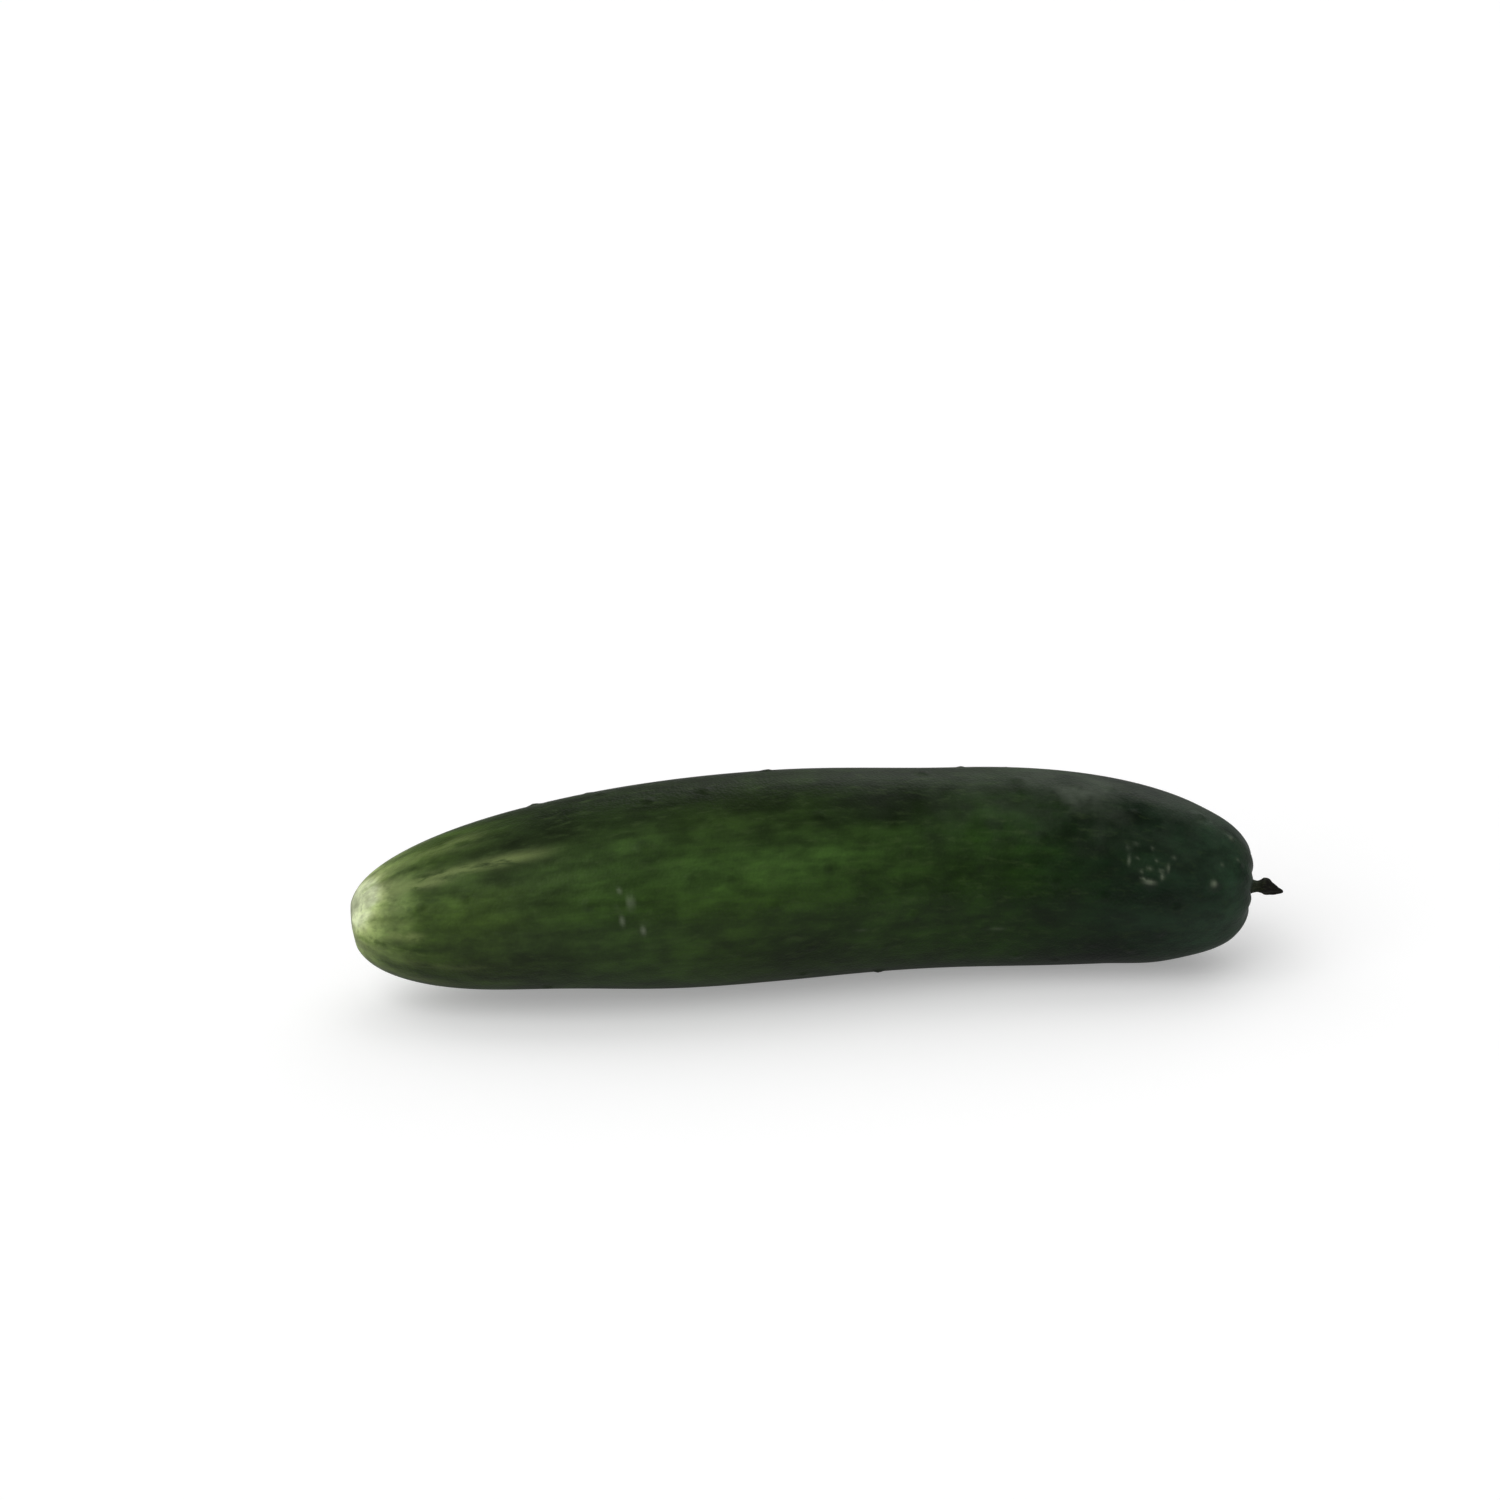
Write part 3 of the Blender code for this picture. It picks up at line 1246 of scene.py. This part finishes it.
        # Painted light: the tip's upper side is lightened to stand for light falling on it.
        tip_end = 1.0 - smooth_step(*self.lit_cap_fade, skin.along)
        lit_cap = np.clip(np.cos(skin.turn - self.lit_cap_side), 0.0, 1.0) ** 3
        paler_and_lit += (self.lit_cap_reach * lit_cap - self.lit_cap_base) * off_pole * tip_end
        paler_and_lit -= self.face_depth * bell(skin.off_axis, 0.0, self.face_width)
        paler_and_lit -= self.collar_depth * smooth_step(0.0, self.collar_reach, skin.along)
        return np.clip(skin.along - paler_and_lit * near_tip, 0.0, 1.0)

    def lines(self, streaks: Sequence[Streak], skin: SkinPlaces) -> Values:
        """Draw the wandering lines that run up from the blossom end.

        Args:
            streaks: The lines.
            skin: Where the points lie.

        Returns:
            How strongly each point lies on a line.
        """
        wander = self.line_wander * soft_noise(skin.points, waves=(22.0, 22.0, 22.0), offset=3.7)
        wander -= self.line_gather * bell(skin.along, 0.0, self.gather_reach)
        mask = np.zeros(len(skin.along))
        for streak in streaks:
            line = bell(wrap(skin.around - streak.around + wander), 0.0, streak.width)
            ends = Stretch((streak.start * self.line_rise, streak.start),
                           (streak.reach * self.line_fade, streak.reach))
            mask = np.maximum(mask, streak.strength * line * ends.share(skin.along))
        return mask

    def scuffed_and_glinting(self, skin: SkinPlaces) -> Values:
        """Draw the pale scuffs, partly painted glints on the warts.

        Args:
            skin: Where the points lie.

        Returns:
            How strongly each point is marked.
        """
        mask = np.zeros(len(skin.along))
        for speck in self.scuffs_and_glints:
            offset = skin.points - self.spine.skin_point(speck.along, speck.around)
            across = np.linalg.norm(offset[:, 1:], axis=1)
            gap = (offset[:, 0] / speck.length) ** 2 + (across / speck.width) ** 2
            mask = np.maximum(mask, speck.strength * np.exp(-2.0 * gap))
        return mask

    def cork(self, skin: SkinPlaces) -> Values:
        """Draw the small corky scar that the blossom left.

        Args:
            skin: Where the points lie.

        Returns:
            How corky each point is.
        """
        spot = np.exp(-(skin.off_axis / self.cork_width) ** 4) * near_end(skin.along)
        lobes = 1.0 - self.cork_lobe_share + self.cork_lobe_share * np.cos(
            self.cork_lobes * skin.turn)
        return spot * lobes

    def pale_and_lit_belly(self, skin: SkinPlaces) -> Values:
        """Draw the brighter green field on the front of the middle: partly paler skin, partly a
        painted band of light.

        Args:
            skin: Where the points lie.

        Returns:
            How much each point belongs to it.
        """
        front = bell(wrap(skin.around - self.belly_side), 0.0, self.belly_width)
        clouds = 0.5 + 0.5 * soft_noise(skin.points, waves=(70.0, 120.0, 120.0), offset=5.1)
        patchy = 1.0 - self.belly_clouds + self.belly_clouds * clouds
        return self.belly_part.share(skin.along) * front * patchy

    def crown_shade(self, skin: SkinPlaces) -> Values:
        """Draw painted shade over the fruit's upper side, past the pale blossom end.

        Args:
            skin: Where the points lie.

        Returns:
            How much each point belongs to it.
        """
        low_edge = self.crown_edge + self.crown_edge_rise * smooth_step(*self.crown_edge_part,
                                                                        skin.along)
        low_edge += self.crown_edge_wander * soft_noise(skin.points, waves=(45.0, 90.0, 90.0),
                                                        offset=8.4)
        low_edge -= self.crown_dip * bell(skin.along, self.crown_dip_at, self.crown_dip_width)
        rise = smooth_step(-self.crown_softness, self.crown_softness, skin.around - low_edge)
        fall = 1.0 - smooth_step(*self.crown_back, skin.around)
        thinner = (1.0 - self.crown_left_at_stem) * smooth_step(*self.crown_part.fall, skin.along)
        return rise * fall * smooth_step(*self.crown_part.rise, skin.along) * (1.0 - thinner)

    def wax_and_sheen(self, skin: SkinPlaces) -> Values:
        """Draw the film of wax with painted sheen, thickest on the upper side of the stem half, and
        a painted highlight patch there.

        Args:
            skin: Where the points lie.

        Returns:
            How thick the film is at each point.
        """
        upper = wrap(skin.around - self.wax_and_sheen_side)
        top = bell(upper, 0.0, self.wax_and_sheen_width) * smooth_step(*self.wax_and_sheen_part, skin.along)
        # Painted highlight: a pale soft patch standing for a glow of reflected light.
        patch = bell(skin.along, self.painted_sheen_at, self.painted_sheen_length) * bell(
            upper, self.painted_sheen_side, self.painted_sheen_width)
        return self.dust_everywhere + self.wax_and_sheen_on_top * top + self.painted_sheen_patch * patch


@dataclass
class WartField:
    """The warts of the skin: some listed one by one, the rest scattered clear of each other."""

    spine: Spine = field(default_factory=Spine)
    radius: float = 0.0021
    height: float = 0.00050
    count: int = 96
    seed: int = 7
    spread: tuple[float, float] = (1.5, 1.05)
    start: float = 0.045
    run: float = 0.93
    odds: tuple[float, float, float] = (0.22, 0.40, 0.38)
    resting_side: tuple[float, float] = (-112.0, -58.0)
    least_gap: float = 0.0075
    least_radius_share: float = 0.55
    outer_edge: float = 1.8
    dome: float = 0.80
    spike: float = 0.28
    spike_width: float = 0.45
    moat: float = 0.10
    moat_at: float = 1.15
    moat_width: float = 0.28

    placed: tuple[Wart, ...] = (
        Wart(0.296, 19.0, WartKind.SMALL),
        Wart(0.300, 1.0, WartKind.SMALL),
        Wart(0.866, 36.0, WartKind.PLAIN),
        Wart(0.888, 19.0, WartKind.BROAD),
        Wart(0.904, 29.0, WartKind.PLAIN),
        Wart(0.955, 23.0, WartKind.BROAD),
        Wart(0.966, 72.0, WartKind.PLAIN),
        Wart(0.978, 48.0, WartKind.SMALL),
        Wart(0.690, -12.0, WartKind.PLAIN),
    )

    def gather(self) -> list[Wart]:
        """Gather the placed warts and scatter the others.

        Returns:
            All the warts.
        """
        dice = np.random.default_rng(self.seed)
        warts = list(self.placed)
        kinds = list(WartKind)
        low, high = self.resting_side
        while len(warts) < self.count:
            along = float(dice.beta(*self.spread)) * self.run + self.start
            around = float(dice.uniform(-HALF_TURN, HALF_TURN))
            kind = kinds[int(dice.choice(len(kinds), p=self.odds))]
            clear = all(self.gap(along, around, other) > self.least_gap for other in warts)
            if clear and not low < around < high:
                warts.append(Wart(along, around, kind))
        return warts

    def gap(self, along: float, around: float, other: Wart) -> float:
        """Measure about how far a place is from a wart over the skin.

        Args:
            along: The place's fraction of the length.
            around: The place's angle in degrees.
            other: The wart.

        Returns:
            The distance in metres.
        """
        sideways = math.radians(wrap(around - other.around)) * self.spine.radius
        return math.hypot((along - other.along) * self.spine.length, sideways)

    def relief(self, skin: SkinPlaces) -> tuple[Values, Values]:
        """Shape the warts, each a dome with a small spike in a shallow moat.

        Args:
            skin: Where the points lie.

        Returns:
            How high the warts lift each point, and how central each point is on a wart.
        """
        lift = np.zeros(len(skin.along))
        mask = np.zeros(len(skin.along))
        for wart in self.gather():
            size = wart.kind.value
            reach = self.radius * (self.least_radius_share + (1.0 - self.least_radius_share) * size)
            centre = self.spine.skin_point(wart.along, wart.around)
            distance = np.linalg.norm(skin.points - centre, axis=1) / reach
            near = distance < self.outer_edge
            share = distance[near]
            form = self.dome * np.clip(1.0 - share ** 2, 0.0, 1.0) ** 2
            form += self.spike * np.clip(1.0 - share / self.spike_width, 0.0, 1.0)
            form -= self.moat * bell(share, self.moat_at, self.moat_width)
            lift[near] += self.height * size * form
            mask[near] = np.maximum(mask[near], np.clip(1.0 - share, 0.0, 1.0))
        return lift, mask


@dataclass
class Fruit:
    """The cucumber itself, from its blossom scar to the seat of its stem."""

    spine: Spine = field(default_factory=Spine)
    warts: WartField = field(default_factory=WartField)
    marks: SkinMarks = field(default_factory=SkinMarks)
    cage_sides: int = 16
    cage_rings: int = 22
    fineness: int = 4
    scar_radius: float = 0.0016
    seat_radius: float = 0.0030
    exact_from: tuple[float, float] = (0.0005, 0.004)

    body_part: Stretch = Stretch((0.02, 0.20), (0.86, 0.99))
    lobe_count: int = 3
    lobe_height: float = 0.00030
    lobe_start: float = 0.6
    lobe_twist: float = 1.2
    ridge_count: int = 9
    ridge_height: float = 0.00012
    ridge_start: float = 0.8
    ridge_least: float = 0.35
    ridge_rise: tuple[float, float] = (0.60, 0.95)
    sway_height: float = 0.00032

    seat_depth: float = 0.0011
    seat_width: float = 0.0052
    fold_height: float = 0.00009
    fold_ring: tuple[float, float] = (0.0055, 0.003)
    pucker_depth: float = 0.00025
    pucker_width: float = 0.0050
    pleat_count: int = 6
    pleat_start: float = 0.5
    pleat_height: float = 0.00006
    pleat_ring: tuple[float, float] = (0.004, 0.0025)

    hollow_depth: float = 0.0012
    hollow_at: float = 0.225
    hollow_length: float = 0.095
    underside_edge: float = 0.1
    heel_height: float = 0.0007
    heel_part: Stretch = Stretch((0.84, 0.91), (0.975, 0.998))
    shoulder_height: float = 0.0006
    shoulder_rise: tuple[float, float] = (0.93, 0.985)
    shoulder_ring: tuple[float, float] = (0.004, 0.010)

    def build(self) -> bpy.types.Object:
        """Model the fruit.

        Returns:
            The fruit's object.
        """
        fruit = self.add_cage()
        self.refine(fruit)
        self.sculpt(fruit)
        self.bend(fruit)
        self.settle(fruit)
        return fruit

    def add_cage(self) -> bpy.types.Object:
        """Draw the straight fruit's coarse cage, from the blossom scar to the stem seat.

        Returns:
            The cage, wider than the fruit by what subdivision takes off a ring of its sides.
        """
        total = self.spine.length_along()
        fractions = self.spine.fractions(self.cage_rings)[1:-1]
        smoothing = (2.0 + math.cos(2.0 * math.pi / self.cage_sides)) / 3.0
        radii = self.spine.radius_at(fractions) / smoothing
        rings = [Ring(0.0, self.scar_radius)]
        rings += [Ring(along * total, radius) for along, radius in zip(fractions, radii)]
        rings.append(Ring(total, self.seat_radius))
        return draw_out("cucumber_fruit", self.cage_sides, rings)

    def refine(self, fruit: bpy.types.Object) -> None:
        """Round the cage, then bring it to the exact profile.

        Args:
            fruit: The cage, which becomes the fine straight fruit.
        """
        subdivide(fruit, self.fineness)
        points = read_points(fruit.data)
        skin = SkinPlaces.of(points, self.spine.length_along())
        tiny = 1e-6
        share = smooth_step(*self.exact_from, skin.along)
        share *= smooth_step(*self.exact_from, 1.0 - skin.along)
        wanted = self.spine.radius_at(skin.along) / np.maximum(skin.off_axis, tiny)
        points[:, 1:] *= (1.0 + share * (wanted - 1.0))[:, None]
        write_points(fruit.data, points)

    def sculpt(self, fruit: bpy.types.Object) -> None:
        """Give the straight fruit its forms and warts, and store its marks.

        Args:
            fruit: The fine straight fruit.
        """
        mesh = fruit.data
        normals = read_normals(mesh)
        skin = SkinPlaces.of(read_points(mesh), self.spine.length_along())
        lift, mask = self.warts.relief(skin)
        height = self.body_forms(skin) + self.fullness(skin) + self.end_forms(skin) + lift
        write_points(mesh, skin.points + normals * height[:, None])
        store_values(mesh, "wart", mask)
        self.marks.store(mesh, skin)

    def body_forms(self, skin: SkinPlaces) -> Values:
        """Shape the slow lobes, the faint ridges and the unevenness of the body.

        Args:
            skin: Where the points lie.

        Returns:
            How high each point rises.
        """
        body = self.body_part.share(skin.along)
        phase = self.lobe_start + self.lobe_twist * skin.along
        lobes = self.lobe_height * np.cos(self.lobe_count * skin.turn + phase) * body
        rise = smooth_step(*self.ridge_rise, skin.along)
        ends = self.ridge_least + (1.0 - self.ridge_least) * rise
        ridges = self.ridge_height * np.cos(self.ridge_count * skin.turn + self.ridge_start) * ends
        sway = self.sway_height * soft_noise(skin.points, waves=(26.0, 38.0, 38.0), offset=11.3)
        return lobes + ridges + sway * body

    def fullness(self, skin: SkinPlaces) -> Values:
        """Shape the hollow under the tip's taper, and the fuller heel and shoulder at the stem.

        Args:
            skin: Where the points lie.

        Returns:
            How high each point rises.
        """
        under = np.clip(self.underside_edge - np.sin(skin.turn), 0.0, 1.0)
        hollow = self.hollow_depth * bell(skin.along, self.hollow_at, self.hollow_length)
        heel = self.heel_height * self.heel_part.share(skin.along)
        shoulder = smooth_step(*self.shoulder_rise, skin.along) * smooth_step(
            *self.shoulder_ring, skin.off_axis)
        return (heel - hollow) * under + self.shoulder_height * shoulder

    def end_forms(self, skin: SkinPlaces) -> Values:
        """Shape the stem's folded seat and the pleated pucker around the blossom scar.

        Args:
            skin: Where the points lie.

        Returns:
            How high each point rises.
        """
        folds = np.cos(self.ridge_count * skin.turn) * bell(skin.off_axis, *self.fold_ring)
        seat = self.fold_height * folds
        seat -= self.seat_depth * bell(skin.off_axis, 0.0, self.seat_width)
        pleats = np.cos(self.pleat_count * skin.turn + self.pleat_start)
        pucker = self.pleat_height * pleats * bell(skin.off_axis, *self.pleat_ring)
        pucker -= self.pucker_depth * bell(skin.off_axis, 0.0, self.pucker_width)
        return seat * near_end(1.0 - skin.along) + pucker * near_end(skin.along)

    def bend(self, fruit: bpy.types.Object) -> None:
        """Bend the straight fruit along its spine.

        Args:
            fruit: The sculpted straight fruit.
        """
        guide = self.spine.add_guide()
        bend = fruit.modifiers.new("bend", "CURVE")
        bend.object = guide
        bend.deform_axis = "POS_X"
        apply_modifier(fruit, bend)
        bpy.data.objects.remove(guide, do_unlink=True)

    @staticmethod
    def settle(fruit: bpy.types.Object) -> None:
        """Flatten the belly where it bears on the surface, and shade the skin smooth.

        Args:
            fruit: The bent fruit.
        """
        points = read_points(fruit.data)
        points[:, 2] = np.maximum(points[:, 2], 0.0)
        write_points(fruit.data, points)
        fruit.data.shade_smooth()

    @staticmethod
    def dress(fruit: bpy.types.Object, shelf: GroupShelf) -> None:
        """Give the fruit its skin."""
        fruit.data.materials.append(CucumberSkin().make(shelf))


# --------------------------------------------------------------------------------------------
# The stem
# --------------------------------------------------------------------------------------------

@dataclass(frozen=True)
class StemStation:
    """One ring of the stem: how far along it is, how far it droops, its radius and its turn."""

    along: float
    droop: float
    radius: float
    turn: float


@dataclass
class StemStub:
    """The stub of the stem, flared at the fruit, shrivelled and twisted towards its cut end."""

    spine: Spine = field(default_factory=Spine)
    sides: int = 10
    fineness: int = 3
    sunk: float = 0.0012
    groove_count: int = 5
    groove_share: float = 0.13
    groove_least: float = 0.35
    groove_rise: tuple[float, float] = (0.25, 0.70)
    wrinkle_share: float = 0.14
    stations: tuple[StemStation, ...] = (
        StemStation(0.0000, -0.0003, 0.0024, 0.0),
        StemStation(0.0010, -0.0003, 0.0018, 2.0),
        StemStation(0.0020, -0.0004, 0.0014, 5.0),
        StemStation(0.0029, -0.0006, 0.0015, 10.0),
        StemStation(0.0037, -0.0009, 0.0020, 18.0),
        StemStation(0.0046, -0.0008, 0.0021, 26.0),
        StemStation(0.0055, -0.0006, 0.0017, 38.0),
        StemStation(0.0064, -0.0002, 0.0012, 52.0),
        StemStation(0.0074, 0.0000, 0.0007, 64.0),
        StemStation(0.0085, 0.0001, 0.0004, 74.0),
    )

    def build(self) -> bpy.types.Object:
        """Model the stem.

        Returns:
            The stem's object.
        """
        rings = [Ring(station.along, station.radius, station.turn) for station in self.stations]
        stem = draw_out("stem_stub", self.sides, rings)
        subdivide(stem, self.fineness)
        self.shrivel(stem)
        self.place(stem)
        return stem

    def shrivel(self, stem: bpy.types.Object) -> None:
        """Press grooves and small wrinkles into the straight stem, and store its places.

        Args:
            stem: The fine straight stem.
        """
        points = read_points(stem.data)
        along = np.clip(points[:, 0] / self.stations[-1].along, 0.0, 1.0)
        twist = np.radians(self.between_stations(points, "turn"))
        turn = np.arctan2(points[:, 2], points[:, 1]) + twist
        rise = smooth_step(*self.groove_rise, along)
        depth = self.groove_share * (self.groove_least + (1.0 - self.groove_least) * rise)
        grooves = 1.0 + depth * np.cos(self.groove_count * turn)
        creases = soft_noise(points, waves=(650.0, 900.0, 900.0), offset=2.2)
        wrinkles = 1.0 + self.wrinkle_share * creases * along
        shaped = points.copy()
        shaped[:, 1:] *= (grooves * wrinkles)[:, None]
        write_points(stem.data, shaped)
        store_values(stem.data, "along", along)
        store_vectors(stem.data, "straight", points)

    def place(self, stem: bpy.types.Object) -> None:
        """Set the stem in its seat, pointing on from the spine and drooping to its end.

        Args:
            stem: The shrivelled straight stem.
        """
        points = read_points(stem.data)
        root, forward = self.spine.stem_root()
        root = root - forward * self.sunk
        side = UP.cross(forward).normalized()
        axes = np.array([forward, side, forward.cross(side)])
        places = points @ axes + np.array(root)
        places[:, 2] -= self.between_stations(points, "droop")
        write_points(stem.data, places)
        stem.data.shade_smooth()

    def between_stations(self, points: Values, name: str) -> Values:
        """Read one of the stations' values at each point of the straight stem.

        Args:
            points: Rows of three on the straight stem.
            name: The value's name.

        Returns:
            The value at each point, even between stations.
        """
        return np.interp(points[:, 0], [station.along for station in self.stations],
                         [getattr(station, name) for station in self.stations])

    @staticmethod
    def dress(stem: bpy.types.Object, shelf: GroupShelf) -> None:
        """Give the stem its dried finish."""
        stem.data.materials.append(DriedStem().make(shelf))


# --------------------------------------------------------------------------------------------
# The studio
# --------------------------------------------------------------------------------------------

@dataclass(frozen=True)
class SoftLight:
    """One broad light: where it shines from, its strength and how wide it looks, in degrees."""

    name: str
    azimuth: float
    elevation: float
    strength: float
    width: float
    glossy: bool = False

    def add(self) -> None:
        """Add the light to the scene."""
        data = bpy.data.lights.new(self.name, "SUN")
        data.energy = self.strength
        data.angle = math.radians(self.width)
        light = bpy.data.objects.new(self.name, data)
        light.rotation_mode = "QUATERNION"
        light.rotation_quaternion = direction(self.azimuth, self.elevation).to_track_quat("Z", "Y")
        light.visible_glossy = self.glossy
        bpy.context.scene.collection.objects.link(light)


def direction(azimuth: float, elevation: float) -> Vector:
    """Return the way from the object to a viewer or light; azimuth 0 is on the -Y side."""
    turn, rise = math.radians(azimuth), math.radians(elevation)
    return Vector((math.sin(turn) * math.cos(rise), -math.cos(turn) * math.cos(rise),
                   math.sin(rise)))


@dataclass
class Studio:
    """The floor, the lights, the surroundings and the camera."""

    floor_size: float = 60.0
    camera_azimuth: float = -6.0
    camera_elevation: float = 22.0
    camera_distance: float = 1.2
    view_width: float = 0.3483
    sensor: float = 36.0
    aim_left: float = 0.0158
    aim_above: float = 0.0290
    surroundings: float = 0.20
    mirrored: float = 0.08
    backdrop: float = 1.0
    lights: tuple[SoftLight, ...] = (
        SoftLight("overhead", 0.0, 88.0, 0.24, 70.0),
        SoftLight("left", -105.0, 40.0, 0.36, 56.0),
        SoftLight("front_left", -50.0, 40.0, 1.45, 60.0),
        SoftLight("back_left", 218.0, 50.0, 0.48, 56.0),
        SoftLight("back_right", 142.0, 50.0, 0.50, 56.0),
        SoftLight("back_rim", 160.0, 30.0, 0.16, 36.0, glossy=True),
    )

    def build(self) -> None:
        """Set up the whole studio."""
        self.add_floor()
        for light in self.lights:
            light.add()
        self.set_world()
        self.add_camera()
        bpy.context.scene.view_settings.view_transform = "Standard"

    def add_floor(self) -> None:
        """Add the floor that the cucumber lies on."""
        deselect_all()
        bpy.ops.mesh.primitive_plane_add(size=self.floor_size)
        floor = bpy.context.object
        floor.name = floor.data.name = "studio_floor"
        floor.data.materials.append(StudioFloor().make())

    def set_world(self) -> None:
        """Make the surroundings dim for the light they give and white where they are seen."""
        world = bpy.data.worlds.new("studio")
        world.use_nodes = True
        bpy.context.scene.world = world
        sheet = NodeSheet(world.node_tree)
        world.node_tree.nodes.clear()
        path = sheet.add("ShaderNodeLightPath")
        more = self.mirrored - self.surroundings
        light = sheet.calculate("MULTIPLY_ADD", path.outputs["Is Glossy Ray"], more,
                             self.surroundings)
        more = self.backdrop - self.surroundings
        light = sheet.calculate("MULTIPLY_ADD", path.outputs["Is Camera Ray"], more, light)
        room = sheet.add("ShaderNodeBackground", {
            "Color": WHITE, "Strength": light,
        })
        sheet.add("ShaderNodeOutputWorld", {"Surface": room.outputs[0]})

    def add_camera(self) -> None:
        """Add the camera, looking a little above and to the left of the cucumber."""
        back = direction(self.camera_azimuth, self.camera_elevation)
        right = UP.cross(back).normalized()
        up = back.cross(right)
        low, high = MODEL_BOX
        middle = (low + high) / 2.0
        aim = middle - right * self.aim_left + up * self.aim_above
        data = bpy.data.cameras.new("camera")
        data.sensor_width = self.sensor
        data.lens = self.sensor * self.camera_distance / self.view_width
        camera = bpy.data.objects.new("camera", data)
        camera.location = aim + back * self.camera_distance
        camera.rotation_mode = "QUATERNION"
        camera.rotation_quaternion = back.to_track_quat("Z", "Y")
        bpy.context.scene.collection.objects.link(camera)
        bpy.context.scene.camera = camera


# --------------------------------------------------------------------------------------------
# Putting it together
# --------------------------------------------------------------------------------------------

def hand_over(piece: bpy.types.Object, node: str) -> None:
    """Let a finished piece stand for its node of the model.

    Args:
        piece: The finished piece.
        node: The node that it stands for.
    """
    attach(piece, BODY)
    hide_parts(node)
    LOG.info("%s: %d faces", piece.name, len(piece.data.polygons))


def main() -> None:
    """Build the cucumber and its studio."""
    logging.basicConfig(level=logging.INFO, format="%(name)s: %(message)s")
    shelf = GroupShelf()
    Studio().build()
    fruit_maker = Fruit()
    fruit = fruit_maker.build()
    fruit_maker.dress(fruit, shelf)
    hand_over(fruit, "fruit")
    stem_maker = StemStub()
    stem = stem_maker.build()
    stem_maker.dress(stem, shelf)
    hand_over(stem, "stem")


if __name__ == "__main__":
    main()
